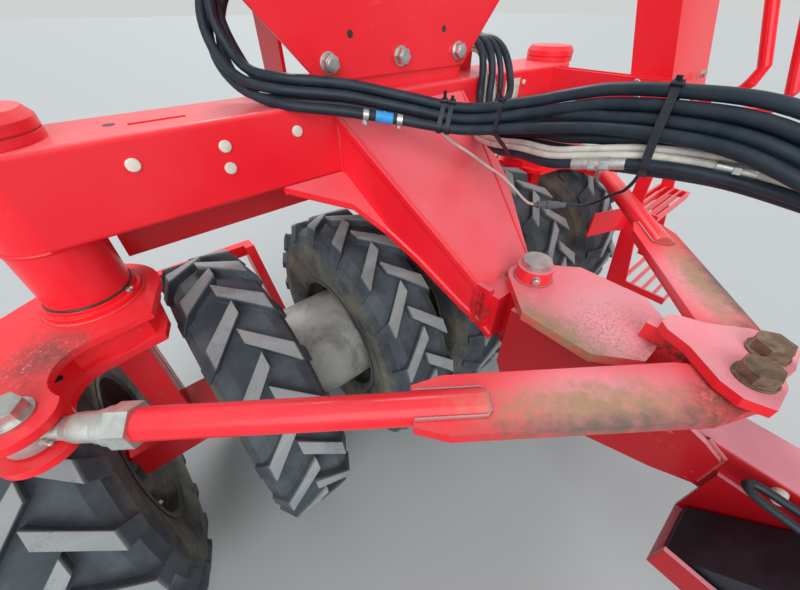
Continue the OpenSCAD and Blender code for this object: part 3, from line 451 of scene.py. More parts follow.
def old_paint(name, paint=(0.43, 0.43, 0.395, 1), dirt=(0.21, 0.205, 0.185, 1), rust=0.32):
    """Paint under dirt, with rust coming through: cream unless another colour is given."""
    finish, tree, shader, where = new_finish(name)
    rounded = effect(tree, "rounded", Width=0.002)
    rusty = effect(tree, "rust", Vector=where, Amount=rust, Scale=16.0)["Rust"]
    grime = span(tree, noise(tree, where, 8, 5, 0.7, 0.5), 0.36, 0.66)
    base = mix(tree, grime, paint, dirt)
    base = mix(tree, times(tree, rusty, 0.8), base, RUST)
    base = mix(tree, times(tree, rounded["Edge"], 0.4), base, PRIMER)
    set_inputs(
        tree,
        shader,
        Base_Color=base,
        Roughness=span(tree, rusty, 0.0, 1.0, 0.55, 0.9),
        Normal=bumped(tree, noise(tree, where, 120, 4, 0.7), rounded["Normal"], 0.35, 0.0006),
    )
    return finish


def plain_rubber(name, colour, rough=0.5, shine=0.5, dust=0.25):
    """Smooth rubber or plastic with a little dust."""
    finish, tree, shader, where = new_finish(name)
    dusty = effect(tree, "dust", Vector=where, Amount=dust, Scale=14.0)["Dust"]
    cloud = noise(tree, where, 26, 4, 0.6)
    base = mix(tree, span(tree, cloud, 0.3, 0.7), colour, shade(colour, 1.45, 0.004))
    base = mix(tree, times(tree, dusty, 0.35), base, PALE_DUST)
    set_inputs(
        tree,
        shader,
        Base_Color=base,
        Roughness=span(tree, calc(tree, "ADD", cloud, dusty), 0.3, 1.2, rough, rough + 0.25),
        Normal=bumped(tree, noise(tree, where, 300, 2), None, 0.12, 0.0003),
        Specular_IOR_Level=shine,
    )
    return finish


BROWN_DUST = (0.20, 0.13, 0.075, 1)
GREASE_DIRT = (0.055, 0.038, 0.026, 1)
# Painted sky reflection: a pale pink sheen, laid on the neck's top plate
PINK_SHEEN = (0.80, 0.13, 0.20, 1)
SCUFFED_RED = (0.23, 0.075, 0.072, 1)
BARE_CHIPS = (0.70, 0.62, 0.60, 1)
KHAKI_DIRT = (0.33, 0.22, 0.12, 1)
GREY_DIRT = (0.13, 0.105, 0.09, 1)
BAR_TURN = 38.05

# Stains and painted sky reflections: place, size, colour and strength, then grain, turn and cover
TOWER_STAINS = [((x + 8, TOWER_FACE, 1190), (46, 30, 15), RUST, 0.85, 60) for x in (-190, 190)]
TOWER_STAINS += [
    ((x, TOWER_FACE, TOWER_BOLT_Z), (25, 30, 25), GREASE_DIRT, 0.8, 70) for x in (-190, 0, 190)
]
NECK_STAINS_AND_SHEEN = [
    ((-95, -452, 760), (60, 48, 85), GREASE_DIRT, 1.0, 50),
    # Painted sky reflection: a pale pink sheen on the neck's top plate
    ((20, -320, 925), (90, 130, 150), PINK_SHEEN, 0.75, 9),
    ((0, -452, 812), (120, 26, 30), BROWN_DUST, 0.8, 70),
]
HEAD_STAINS = [
    ((-122, -650, HEAD_TOP), (104, 270, 60), KHAKI_DIRT, 0.95, 130, -8, 0.26),
    ((-40, -690, HEAD_TOP), (190, 150, 40), BROWN_DUST, 0.75, 190, 0, 0.47),
    ((0, -790, HEAD_TOP), (160, 80, 60), GREASE_DIRT, 0.9, 80),
]
ROD_STAINS_AND_SHEEN = []
ARM_STAINS = []
for side in SIDES.values():
    ROD_STAINS_AND_SHEEN += [
        # Painted sky reflection: a pale patch on the top of each rod's flat bar
        ((side * 197, -758, BAR_TOP), (270, 120, 40), SKY_REFLECTION, 0.8, 4, side * BAR_TURN, 0.1),
        ((side * 222, -758, BAR_TOP), (330, 74, 60), KHAKI_DIRT, 0.95, 170, side * BAR_TURN, 0.22),
        ((side * 246, -784, BAR_TOP), (360, 44, 60), GREY_DIRT, 0.95, 110, side * BAR_TURN, 0.20),
        ((side * 90, -868, BAR_TOP), (90, 80, 40), GREASE_DIRT, 0.7, 110, 0, 0.36),
    ]
    ARM_STAINS += [
        ((side * 826, -130, ARM_TOP), (118, 100, 20), SCUFFED_RED, 0.9, 90, side * -10, 0.33),
        ((side * 826, -130, ARM_TOP), (130, 120, 20), BARE_CHIPS, 0.9, 150, 0, 0.56),
        ((side * KINGPIN_X, 0, COLLAR_TOP), (92, 92, 14), GREASE_DIRT, 0.5, 60),
    ]

# Painted light: a lighter copy of the red, to make up for the shade that falls on the steering arms
KNUCKLE_RED = (0.93, 0.004, 0.014, 1)
RED_PAINTS = {
    "frame_red": dict(dust=0.18),
    "tower_red": dict(dust=0.18, sky_sheen=0.1, scratches=0.6, stains_and_sheens=TOWER_STAINS),
    "neck_red": dict(dust=0.15, wear=0.4, sky_sheen=0.55, stains_and_sheens=NECK_STAINS_AND_SHEEN),
    # Painted shade: low_red is a darker copy of the red for these parts
    "low_red": dict(colour=(0.55, 0.006, 0.012, 1), dust=0.2, sky_sheen=0.1, wear=0.3),
    "knuckle_red": dict(colour=KNUCKLE_RED, dust=0.1, sky_sheen=0.05, wear=0.55, scratches=0.6, stains_and_sheens=ARM_STAINS),
    "head_red": dict(dust=0.4, sky_sheen=0.85, wear=0.6, scratches=0.7, bleach=0.7, stains_and_sheens=HEAD_STAINS),
    # Painted shade: drawbar_red is a darker copy of the red for the drawbar's sides
    "drawbar_red": dict(colour=(0.42, 0.004, 0.010, 1), dust=0.12, sky_sheen=0.8, wear=0.5, bleach=0.1),
    "rod_red": dict(dust=0.12, sky_sheen=0.06, wear=0.5, scratches=0.5, stains_and_sheens=ROD_STAINS_AND_SHEEN),
    "weld_red": dict(dust=0.3, wear=0.6, gloss=0.35),
    "weld_head": dict(colour=(0.45, 0.05, 0.06, 1), dust=0.8, sky_sheen=0.6, wear=0.8, gloss=0.4),
}
ZINCS = {
    "zinc": {},
    "forged_zinc": dict(tone=(0.68, 0.71, 0.68, 1), rust=0.24, dust=0.3, rough=0.5),
    "dull_zinc": dict(tone=(0.44, 0.45, 0.43, 1), rust=0.35, dust=0.7, rough=0.62),
}
OLD_PAINTS = {
    "wheel_cream": {},
    "rim_paint": dict(paint=(0.105, 0.102, 0.092, 1), dirt=(0.036, 0.034, 0.031, 1), rust=0.36),
}
RUBBERS = {
    "hose_black": dict(colour=(0.010, 0.019, 0.029, 1), rough=0.42, shine=0.28, dust=0.1),
    "hose_pale": dict(colour=(0.43, 0.42, 0.37, 1), rough=0.4),
    "grey_plastic": dict(colour=(0.075, 0.085, 0.095, 1), rough=0.45),
    "black_plastic": dict(colour=(0.009, 0.013, 0.019, 1), rough=0.4, shine=0.4, dust=0.1),
    "blue_plastic": dict(colour=(0.02, 0.23, 0.55, 1), rough=0.35),
    "old_nylon": dict(colour=(0.52, 0.49, 0.42, 1), rough=0.5),
    "grease": dict(colour=(0.022, 0.015, 0.010, 1), rough=0.3),
}
FINISH = {"tyre_rubber": tyre_rubber("tyre_rubber"), "brown_steel": brown_steel("brown_steel")}
for make, looks in (
    (red_paint, RED_PAINTS), (zinc_steel, ZINCS), (old_paint, OLD_PAINTS), (plain_rubber, RUBBERS),
):
    FINISH.update({name: make(name, **look) for name, look in looks.items()})

# The nodes that aren't in frame_red, with * for left and right
FINISH_OF = {
    "tower_red": ["tower_sheet", "tower_upstand"],
    "neck_red": ["gooseneck"],
    "low_red": ["rear_plate", "hose_bulkhead", "hose_holder", "jack_housing"],
    "knuckle_red": ["kingpin_*", "steering_arm_*", "axle_*", "scraper_*"],
    "head_red": ["head_plate", "steering_plate"],
    "drawbar_red": ["head_sides", "drawbar_tube", "towing_eye", "chock_holder"],
    "rod_red": ["tie_rod_*"],
    "tyre_rubber": ["tyre_*_outer", "tyres_*_inner"],
    "rim_paint": ["wheel_*_outer", "rims_*_inner"],
    "wheel_cream": ["drum_*"],
    "zinc": ["arm_bolt_*", "drawbar_pin"],
    "dull_zinc": ["jack_leg"],
    "forged_zinc": ["rod_end_*"],
    "brown_steel": ["steering_bolts"],
    "black_plastic": ["wheel_chock"],
}
finish_names = {}
for finish_name, nodes in FINISH_OF.items():
    for node in nodes:
        for side_name in SIDES:
            finish_names[node.replace("*", side_name)] = finish_name
for node_name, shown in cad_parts.items():
    shown.data.materials.clear()
    shown.data.materials.append(FINISH[finish_names.get(node_name, "frame_red")])


# Shapes: made in the carriage's millimetres, then put in place in metres

CARRIAGE = Matrix.Translation((0, KINGPIN_Y, 0)) @ Matrix.Scale(MM, 4)
CREASE = math.radians(38)


def make_piece(name, bm, finish, body):
    bm.transform(CARRIAGE)
    for face in bm.faces:
        face.smooth = True
    for edge in bm.edges:
        if len(edge.link_faces) == 2 and edge.calc_face_angle(0) > CREASE:
            edge.smooth = False
    mesh = bpy.data.meshes.new(name)
    bm.to_mesh(mesh)
    bm.free()
    mesh.materials.append(FINISH[finish])
    piece = bpy.data.objects.new(name, mesh)
    bpy.context.scene.collection.objects.link(piece)
    if body:
        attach(piece, body)
    return piece


def standing(spot, along, turn=0):
    """Takes a shape made upright at the origin to a spot, pointing along a direction."""
    facing = Vector(along).to_track_quat("Z", "Y").to_matrix().to_4x4()
    return Matrix.Translation(spot) @ facing @ Matrix.Rotation(math.radians(turn), 4, "Z")


def round_edges(bm, edges, offset, segments):
    bmesh.ops.bevel(
        bm, geom=list(edges), offset=offset, segments=segments, profile=0.5, affect="EDGES", material=-1
    )


def add_disc(bm, spot, along, radius, height, top_radius=None, sides=24, round_top=0.0, turn=0):
    """A round or many-sided block standing on a spot, its far rim rounded."""
    top = radius if top_radius is None else top_radius
    move = standing(spot, along, turn) @ Matrix.Translation((0, 0, height / 2))
    made = bmesh.ops.create_cone(
        bm, cap_ends=True, segments=sides, radius1=radius, radius2=top, depth=height, matrix=move
    )["verts"]
    if round_top:
        axis = (move.to_3x3() @ Vector((0, 0, 1))).normalized()
        far = max(v.co.dot(axis) for v in made)
        rim = {e for v in made for e in v.link_edges if all(far - w.co.dot(axis) < 0.01 for w in e.verts)}
        round_edges(bm, rim, round_top, 3)


def add_block(bm, spot, size, along=(0, 0, 1), rounding=1.5):
    """A block with rounded edges, centred on a spot."""
    move = standing(spot, along) @ Matrix.Diagonal((*size, 1))
    made = bmesh.ops.create_cube(bm, size=1, matrix=move)["verts"]
    round_edges(bm, {e for v in made for e in v.link_edges}, rounding, 2)


def add_hex_bolt(bm, spot, along, flats, height, washer, washer_height=3.0, turn=0):
    """A hexagon head, corners chamfered, on its washer."""
    lift = Vector(along).normalized()
    add_disc(bm, spot, along, washer, washer_height, round_top=0.8)
    spot = Vector(spot) + lift * washer_height
    add_disc(bm, spot, along, flats / math.sqrt(3), height, sides=6, round_top=flats * 0.055, turn=turn)
    add_disc(bm, spot + lift * height * 0.98, along, flats * 0.36, height * 0.07, flats * 0.33)


def add_grease_nipple(bm, spot, along):
    lift = Vector(along).normalized()
    add_disc(bm, spot, along, 6, 6, sides=6)
    add_disc(bm, Vector(spot) + lift * 6, along, 3.4, 7, 2.2, sides=12)
    add_disc(bm, Vector(spot) + lift * 12, along, 3.4, 5, sides=12, round_top=2)


ROUTE_STEPS = 6


def smooth_route(points):
    """Points on a smooth curve through the given ones."""
    points = [Vector(p) for p in points]
    route = []
    for i in range(len(points) - 1):
        before, start, end, after = (points[max(0, min(len(points) - 1, i + k))] for k in (-1, 0, 1, 2))
        handles = (start + (end - before) / 6, end - (after - start) / 6)
        route += interpolate_bezier(start, *handles, end, ROUTE_STEPS + 1)[:-1]
    return route + [points[-1]]


def tube_mesh(name, routes, radius, sides, swell):
    """Tubes along routes; swell, if given, is each ring's share of the radius."""
    line = bpy.data.curves.new(name, "CURVE")
    line.dimensions = "3D"
    line.bevel_depth = radius
    line.bevel_resolution = sides // 2 - 2
    line.use_fill_caps = True
    for route in routes:
        spline = line.splines.new("POLY")
        spline.points.add(len(route) - 1)
        for i, (point, centre) in enumerate(zip(spline.points, route)):
            point.co = (*centre, 1)
            point.radius = swell(i) if swell else 1
    holder = bpy.data.objects.new(name, line)
    bpy.context.scene.collection.objects.link(holder)
    mesh = bpy.data.meshes.new_from_object(holder.evaluated_get(bpy.context.evaluated_depsgraph_get()))
    bpy.data.objects.remove(holder)
    bpy.data.curves.remove(line)
    return mesh


def tube_piece(name, routes, radius, finish, body, sides, swell=None):
    bm = bmesh.new()
    mesh = tube_mesh(name + "_line", routes, radius, sides, swell)
    bm.from_mesh(mesh)
    bpy.data.meshes.remove(mesh)
    return make_piece(name, bm, finish, body)


WELD_STEP = 4.5
WELD_RIPPLE = (1.0, 0.8, 1.08, 0.86)


def weld_piece(name, routes, radius, finish, body):
    """Weld beads: short ripples along each seam."""
    seams = []
    for first, *rest in routes:
        seam = [Vector(first)]
        for corner in rest:
            run = Vector(corner) - seam[-1]
            count = max(2, round(run.length / WELD_STEP))
            start = seam[-1]
            seam += [start + run * (k / count) for k in range(1, count + 1)]
        seams.append(seam)
    return tube_piece(
        name, seams, radius, finish, body, 6, lambda i: WELD_RIPPLE[i % len(WELD_RIPPLE)]
    )


# Hoses: the same routes as the source's, with each hose at its own place round them

HOSE_ROUTE = (
    (-236, 110, 1330), (-266, 110, 1330), (-312, 107, 1318), (-347, 92, 1278), (-352, 60, 1225),
    (-336, 10, 1188), (-298, -60, 1181), (-200, -130, 1172), (-110, -200, 1150), (-40, -300, 1135),
    (5, -400, 1150), (20, -485, 1165), (28, -535, 1172), (32, -620, 1180), (36, -720, 1178),
    (40, -830, 1150), (42, -950, 1110), (42, -1070, 1085), (40, -1190, 1080), (40, -1336, 1080),
)
LOOP_ROUTE = (
    (312, 29, 1226), (312, -5, 1226), (312, -50, 1222), (304, -90, 1196), (296, -114, 1150),
    (280, -130, 1105), (240, -152, 1075), (180, -190, 1064), (120, -250, 1066), (80, -330, 1080),
    (54, -410, 1096), (30, -485, 1106), (30, -535, 1112), (44, -620, 1120), (66, -720, 1124),
    (88, -830, 1112), (100, -950, 1090), (102, -1070, 1072), (98, -1190, 1078), (98, -1336, 1078),
)
FAN_DOWN = Vector((0.48, -0.877))
FAN_AWAY = Vector((-0.877, -0.48))
FAN_DROP = 12


def fan(down, away):
    """A place in the flat fan of hoses, as a step sideways and up from the route."""
    return FAN_DOWN * (down + FAN_DROP) + FAN_AWAY * away


# Each hose: finish, diameter, and its steps sideways and up from the route at some of its points
BULKHEAD_HOSES = {
    "hose_upper": ("hose_black", 19, {
        0: (-28, 36), 1: (-28, 36), 4: (-8, 16), 7: fan(-21, 0), 9: fan(-21, 0),
        12: fan(-39, -4), 13: fan(-39, -4), 15: fan(-44, -2), 18: (24, 26)}),
    "hose_second": ("hose_black", 19, {
        0: (2, 36), 1: (2, 36), 4: (14, 2), 7: fan(-1, 3), 9: fan(-1.5, 0),
        12: fan(-19, 0), 13: fan(-19.5, 0), 15: fan(-22, 0), 18: (-4, 26)}),
    "hose_lower": ("hose_black", 19, {
        0: (-28, 4), 1: (-28, 4), 4: (-8, -16), 7: fan(31, -8), 9: fan(18, 0),
        12: fan(19, -2), 13: fan(19.5, -2), 15: fan(22, -4), 18: (24, -3)}),
    "hose_inner": ("hose_black", 18, {
        0: (2, 4), 1: (2, 4), 4: (-28, 2), 7: fan(-11, 20), 9: fan(-12, 19),
        12: fan(0, 2), 13: fan(0, 2), 15: fan(0, 4), 18: (-4, -3)}),
    "hose_hidden": ("hose_black", 17, {
        0: (30, 20), 1: (30, 20), 4: (6, -24), 7: fan(10, 20), 9: fan(8, 19),
        12: fan(-13, 20), 13: fan(-13, 20), 15: fan(-15, 20), 18: (10, -30)}),
}
LOOP_HOSES = {
    "loop_first": ("hose_black", 19, {
        0: (36, 0), 2: (38, 0), 5: (40, 0), 7: (10, -8), 10: fan(-20, -4),
        13: fan(-26, -12), 15: fan(-26, -8), 18: (14, 28)}),
    "loop_second": ("hose_black", 19, {
        0: (12, 0), 2: (13, 2), 5: (14, 4), 7: (-10, -8), 10: fan(-4, 8),
        13: fan(-8, 2), 15: fan(-8, 4), 18: (-13, 28)}),
    "loop_joined": ("hose_black", 15, {
        0: (-12, 0), 2: (-12, 1), 5: (-12, 2), 7: (-9, 12), 9: fan(26, -12), 11: fan(30, -22),
        13: fan(11, -24), 15: fan(14, -16), 18: (14, 1)}),
    "loop_last": ("hose_black", 19, {
        0: (-36, 0), 2: (-38, -2), 5: (-38, 2), 7: (10, 12), 10: fan(10, 14),
        13: fan(13, -1), 15: fan(12, 8), 18: (-13, 1)}),
    "pale_upper": ("hose_pale", 11, {
        0: (22, -26), 2: (22, -24), 5: (24, -14), 7: (26, 0), 9: fan(8, -22), 11: fan(7, -26),
        13: fan(-13, -24), 15: fan(-12, -18), 18: (24, -22)}),
    "pale_lower": ("hose_pale", 11, {
        0: (0, -26), 2: (0, -24), 5: (2, -14), 7: (26, -12), 9: fan(19, -24), 11: fan(18, -28),
        13: fan(-2, -25), 15: fan(0, -18), 18: (4, -22)}),
}
ALL_HOSES = {**BULKHEAD_HOSES, **LOOP_HOSES}


def hose_stations(route, steps_aside):
    """The hose's own points: the route's, moved aside and up by steps that change smoothly on the way."""
    points = []
    for i, centre in enumerate(route):
        ahead = Vector(route[min(i + 1, len(route) - 1)]) - Vector(route[max(i - 1, 0)])
        aside = ahead.cross(Vector((0, 0, 1))).normalized()
        up = aside.cross(ahead).normalized()
        low = max(k for k in steps_aside if k <= i)
        high = min((k for k in steps_aside if k >= i), default=low)
        share = (i - low) / (high - low) if high > low else 0
        share = share * share * (3 - 2 * share)
        step = Vector(steps_aside[low]).lerp(Vector(steps_aside[high]), share)
        points.append(Vector(centre) + aside * step.x + up * step.y)
    return points


def bend_with_steering(piece):
    """Bakes the piece's placing into its mesh."""
    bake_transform(piece)


hose_routes = {}
for main_route, hoses in ((HOSE_ROUTE, BULKHEAD_HOSES), (LOOP_ROUTE, LOOP_HOSES)):
    for hose_name, (finish, diameter, steps_aside) in hoses.items():
        route = smooth_route(hose_stations(main_route, steps_aside))
        hose_routes[hose_name] = route
        hose = tube_piece(hose_name, [route], diameter / 2, finish, None, 16)
        bend_with_steering(hose)
        if hose_name == "hose_upper":
            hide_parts("hoses_frame", "hoses_drawbar")


def hose_point(name, y):
    """Where a hose passes a plane across the carriage, going forward, and which way it runs there."""
    route = hose_routes[name]
    crossings = [i for i in range(len(route) - 1) if route[i].y >= y > route[i + 1].y]
    i = crossings[-1]
    share = (route[i].y - y) / (route[i].y - route[i + 1].y)
    return route[i].lerp(route[i + 1], share), (route[i + 1] - route[i]).normalized()


STRAP_SIDES = 14


def add_strap(bm, names, y, width, thickness, slack=0.6):
    """A strap drawn tight round hoses where they pass a plane across the carriage."""
    found = [hose_point(name, y) for name in names]
    ahead = sum((way for _, way in found), Vector()).normalized()
    aside = ahead.cross(Vector((0, 0, 1))).normalized()
    up = aside.cross(ahead).normalized()
    middle = sum((spot for spot, _ in found), Vector()) / len(found)
    rim = []
    for name, (spot, _) in zip(names, found):
        reach = ALL_HOSES[name][1] / 2 + slack
        flat = Vector(((spot - middle).dot(aside), (spot - middle).dot(up)))
        for k in range(STRAP_SIDES):
            angle = 2 * math.pi * k / STRAP_SIDES
            rim.append(flat + Vector((math.cos(angle), math.sin(angle))) * reach)
    loop = [rim[i] for i in convex_hull_2d(rim)]
    start = [bm.verts.new(middle + aside * p.x + up * p.y - ahead * width / 2) for p in loop]
    edges = [bm.edges.new((start[i - 1], start[i])) for i in range(len(start))]
    grown = bmesh.ops.extrude_edge_only(bm, edges=edges)["geom"]
    bmesh.ops.translate(bm, vec=ahead * width, verts=[g for g in grown if isinstance(g, bmesh.types.BMVert)])
    faces = [g for g in grown if isinstance(g, bmesh.types.BMFace)]
    bm.normal_update()
    if sum((f.calc_center_median() - middle).dot(f.normal) for f in faces) < 0:
        bmesh.ops.reverse_faces(bm, faces=faces)
    bm.normal_update()
    bmesh.ops.solidify(bm, geom=faces, thickness=-thickness)
    return middle, ahead, aside, up, loop


# The side of the hoses that the camera sees, as a share sideways and up
NEAR_ASIDE, NEAR_UP = 0.75, 0.66


def tie_piece(name, names, y, body, width=9, tail=22):
    """A cable tie: strap, head and the cut tail, on the camera's side of the hoses."""
    bm = bmesh.new()
    middle, ahead, aside, up, loop = add_strap(bm, names, y, width, 1.6)
    edge = max(loop, key=lambda p: p.x * NEAR_ASIDE + p.y * NEAR_UP)
    head = middle + aside * edge.x + up * edge.y + (aside * NEAR_ASIDE + up * NEAR_UP) * 3
    across = ahead.cross(aside * NEAR_UP - up * NEAR_ASIDE)
    add_block(bm, head, (width + 4, 8, 9), along=across, rounding=1)
    way = (up * 0.9 + aside * 0.5).normalized()
    add_block(bm, head + way * tail / 2, (width * 0.7, 1.4, tail), along=way, rounding=0.3)
    return make_piece(name, bm, "black_plastic", body)


tie_piece("hose_tie_left", BULKHEAD_HOSES, -262, "frame")
tie_piece("hose_tie_left_second", BULKHEAD_HOSES, -276, "frame", tail=14)
tie_piece("hose_tie_neck", ALL_HOSES, -372, "frame", width=10, tail=30)
tie_piece("hose_tie_front", ALL_HOSES, -618, "drawbar", width=12, tail=12)
tie_piece("hose_tie_holder", ALL_HOSES, -1180, "drawbar", width=10, tail=16)


def hose_ends():
    """Crimped ferrules and nuts where the hoses screw into the plates."""
    for name, first, hoses, plate_gap, body in (
        ("hose_ends_bulkhead", True, BULKHEAD_HOSES, 1, "frame"),
        ("hose_ends_loops", True, LOOP_HOSES, 1, "frame"),
        ("hose_ends_holder", False, ALL_HOSES, 0, "drawbar"),
    ):
        bm = bmesh.new()
        for hose_name, (_, diameter, _) in hoses.items():
            route = hose_routes[hose_name]
            spot, near = route[:2] if first else route[:-3:-1]
            way = (near - spot).normalized()
            add_disc(bm, spot - way * plate_gap, way, diameter * 0.70, 9 + plate_gap, sides=6, round_top=0.8)
            add_disc(bm, spot + way * 9, way, diameter * 0.60, 24, sides=20, round_top=1.5)
            for ring in (13, 19, 25):
                add_disc(bm, spot + way * ring, way, diameter * 0.64, 2.5, sides=20)
        make_piece(name, bm, "zinc", body)


hose_ends()


# Small parts: fasteners, seals, welds and fittings. Places are in the carriage's millimetres.

BEAM_FACE = BEAM_FRONT - 0.4
FORWARD, UP = (0, -1, 0), (0, 0, 1)


def ring_route(centre, radius, steps=48):
    """Points round an upright axis, ending where they start."""
    points = []
    for i in range(steps + 1):
        angle = math.radians(360 * i / steps)
        points.append(Vector(centre) + Vector((math.cos(angle), math.sin(angle), 0)) * radius)
    return points


def beam_fasteners():
    bm = bmesh.new()
    for x, z in ((-583, 1101), (-437, 1101), (-439, 1062), (-293, 1102)):
        add_disc(bm, (x, BEAM_FACE, z), FORWARD, 11, 4, round_top=2.6)
    for x, z in ((450, 1109), (480, 1112)):
        add_disc(bm, (x, BEAM_FACE, z), FORWARD, 7, 5, round_top=2)
    make_piece("beam_plugs", bm, "old_nylon", "frame")

    bm = bmesh.new()
    for y, z in ((-348, 1124), (-420, 1124), (-364, 1086)):
        add_disc(bm, (645, y, z), (-1, 0, 0), 10, 4, round_top=2.4)
    for x, z in ((896, 1133), (958, 1045)):
        add_hex_bolt(bm, (x, -434.2, z), FORWARD, 17, 8, washer=13, turn=12)
    make_piece("ladder_bolts", bm, "zinc", "frame")

    bm = bmesh.new()
    for i, x in enumerate((-190, 0, 190)):
        add_hex_bolt(bm, (x, TOWER_FACE, TOWER_BOLT_Z), FORWARD, 30, 15, washer=20, turn=8 + 17 * i)
    make_piece("tower_bolts", bm, "zinc", "frame")

    bm = bmesh.new()
    for x in (-133, 136):
        add_disc(bm, (x, TOWER_FACE, 1252), FORWARD, 7, 0.6)
    add_disc(bm, (-585, 0, BEAM_TOP), UP, 9, 0.6)
    make_piece("bare_holes", bm, "grease", "frame")


def kingpin_parts():
    for name, side in SIDES.items():
        seal = ring_route((side * KINGPIN_X, 0, COLLAR_TOP), 70)
        tube_piece("kingpin_seal_" + name, [seal], 2.6, "grease", "frame", 8)
        bm = bmesh.new()
        toward_middle = Vector((-side * 0.62, -0.55, 0)).normalized()
        spot = Vector((side * KINGPIN_X, 0, COLLAR_TOP - 7)) + toward_middle * 73
        add_grease_nipple(bm, spot, (*toward_middle.xy, 0.7))
        make_piece("collar_nipple_" + name, bm, "zinc", "knuckle_" + name)


def head_parts():
    bm = bmesh.new()
    facing = Vector((-0.80, -0.60, 0))
    spot = Vector((0, PIN_Y, 856)) + facing * 37.5
    add_hex_bolt(bm, spot, facing, 15, 8, washer=9, washer_height=2, turn=10)
    make_piece("pin_lock_bolt", bm, "zinc", "drawbar")


def sleeve_parts():
    """The clamped joiner in the lower hose, and the screwed coupling under the fan."""
    bm = bmesh.new()
    for y, turn in ((-172, 1), (-210, -1)):
        middle, _, aside, up, _ = add_strap(bm, ("hose_lower",), y, 11, 1.3, slack=0.3)
        outward = aside * 0.35 * turn - up * 0.94
        screw = middle + outward * 14
        add_block(bm, screw, (9, 12, 7), along=outward, rounding=1)
        add_disc(bm, screw - aside * 9, aside, 4, 18, sides=8, round_top=0.6)
    make_piece("hose_clamps", bm, "zinc", "frame")

    bm = bmesh.new()
    start, _ = hose_point("hose_lower", -182)
    end, _ = hose_point("hose_lower", -201)
    way = end - start
    add_disc(bm, start, way, 10.6, way.length, round_top=1)
    add_disc(bm, start + way * 0.42, way, 12, 5, sides=12, round_top=0.8)
    make_piece("hose_joiner", bm, "blue_plastic", "frame")

    for name, hose, y, parts in (
        ("loop_coupling", "loop_joined", -522, (
            (9.5, 26, 24), (11.5, 12, 6), (10, 5, 24), (12, 14, 6), (9.5, 22, 24))),
        ("pale_coupling", "pale_lower", -700, ((7.5, 20, 24), (9, 10, 6), (7.5, 18, 24))),
    ):
        bm = bmesh.new()
        for radius, run, sides in parts:
            spot, way = hose_point(hose, y)
            add_disc(bm, spot, way, radius, run, sides=sides, round_top=1)
            y -= run * abs(way.y)
        bend_with_steering(make_piece(name, bm, "zinc", None))


CABLE_ROUTE = (
    (-71, -265, 1105), (-46, -277, 1080), (0, -290, 1050), (60, -300, 1010), (105, -312, 980),
    (130, -330, 955), (137, -352, 938), (133, -374, 930), (128, -391, 929), (128, -408, 931),
)
LEAD_ROUTE = (
    (180, -452, 930), (197, -468, 930), (206, -490, 936), (202, -516, 956), (176, -540, 984),
    (140, -562, 1008), (98, -586, 1034), (57, -606, 1068), (34, -616, 1093), (26, -622, 1105),
)


def plug_cable():
    """The thin pale cable over the neck's edge, its plug, and the black lead back up to the hoses."""
    cable_route, lead_route = smooth_route(CABLE_ROUTE), smooth_route(LEAD_ROUTE)
    cable = tube_piece("sensor_cable", [cable_route], 3, "hose_pale", None, 10)
    lead = tube_piece("sensor_lead", [lead_route], 3.25, "hose_black", None, 10)
    start, reach = cable_route[-1], lead_route[0] - cable_route[-1]
    way = reach.normalized()
    bm = bmesh.new()
    for begin, run, radius, sides in (
        (-4, 10, 5.5, 16), (4, 24, 8.5, 16), (26, 8, 10.5, 12), (33, 22, 8.8, 16),
        (53, reach.length - 50, 6, 16),
    ):
        add_disc(bm, start + way * begin, way, radius, run, sides=sides, round_top=1.2)
    plug = make_piece("sensor_plug", bm, "grey_plastic", None)
    for piece in (cable, lead, plug):
        bend_with_steering(piece)


def wheel_parts():
    for name, side in SIDES.items():
        bm = bmesh.new()
        for i in range(5):
            angle = math.radians(72 * i + 18)
            spot = (side * (OUTER_HUB_FACE + 0.2), 70 * math.sin(angle), AXLE_Z + 70 * math.cos(angle))
            add_hex_bolt(bm, spot, (side, 0, 0), 22, 12, washer=15, turn=15 * i)
        make_piece("wheel_nuts_" + name, bm, "zinc", f"wheel_{name}_outer")


def plates_on_beam():
    bm = bmesh.new()
    add_block(bm, (520, BEAM_FRONT - 4, 1030), (250, 5, 74))
    add_block(bm, (520, BEAM_FRONT - 14, 1064), (250, 24, 5))
    for x in (425, 615):
        add_hex_bolt(bm, (x, BEAM_FRONT - 6.5, 1046), FORWARD, 13, 6, washer=9, washer_height=2)
    make_piece("splash_sheet", bm, "black_plastic", "frame")

    bm = bmesh.new()
    add_block(bm, (424, BEAM_FRONT - 1.6, 1098), (70, 3, 56), rounding=1)
    make_piece("blank_plate", bm, "old_nylon", "frame")
    bm = bmesh.new()
    add_hex_bolt(bm, (404, BEAM_FRONT - 3, 1098), FORWARD, 13, 6, washer=9, washer_height=2)
    make_piece("plate_bolt", bm, "brown_steel", "frame")


def chock_parts():
    """The carrying loop on the chock, and the peg on the tube beside it."""
    loop = smooth_route([
        (-93, -1088, 714), (-93, -1082, 730), (-94, -1062, 739), (-95, -1025, 743), (-94, -990, 745),
        (-90, -970, 746), (-81, -961, 746), (-72, -970, 746), (-69, -990, 745), (-68, -1025, 743),
        (-68, -1062, 739), (-68, -1082, 730), (-68, -1088, 714),
    ])
    tube_piece("chock_loop", [loop], 6.5, "black_plastic", "drawbar", 12)
    bm = bmesh.new()
    add_disc(bm, (-47.5, -1000, 736), (-1, 0, 0.12), 10, 22, 8.5, round_top=4)
    make_piece("chock_peg", bm, "old_nylon", "drawbar")


# The tie rods: from the steering bolt to the arm bolt, and the lock nut's place on the way
ROD_START = Vector((36, -884, 859))
ROD_REACH = Vector((830.5, 650, -39))
NUT_END = ROD_REACH.length - 130


def rod_point(side, along, across, above=0):
    """A point of a tie rod from its steering bolt: along it, across it and above its middle."""
    ahead = ROD_REACH.normalized()
    aside = Vector((0, 0, 1)).cross(ahead).normalized()
    spot = ROD_START + ahead * along + aside * across + ahead.cross(aside) * above
    return Vector((side * spot.x, spot.y, spot.z))


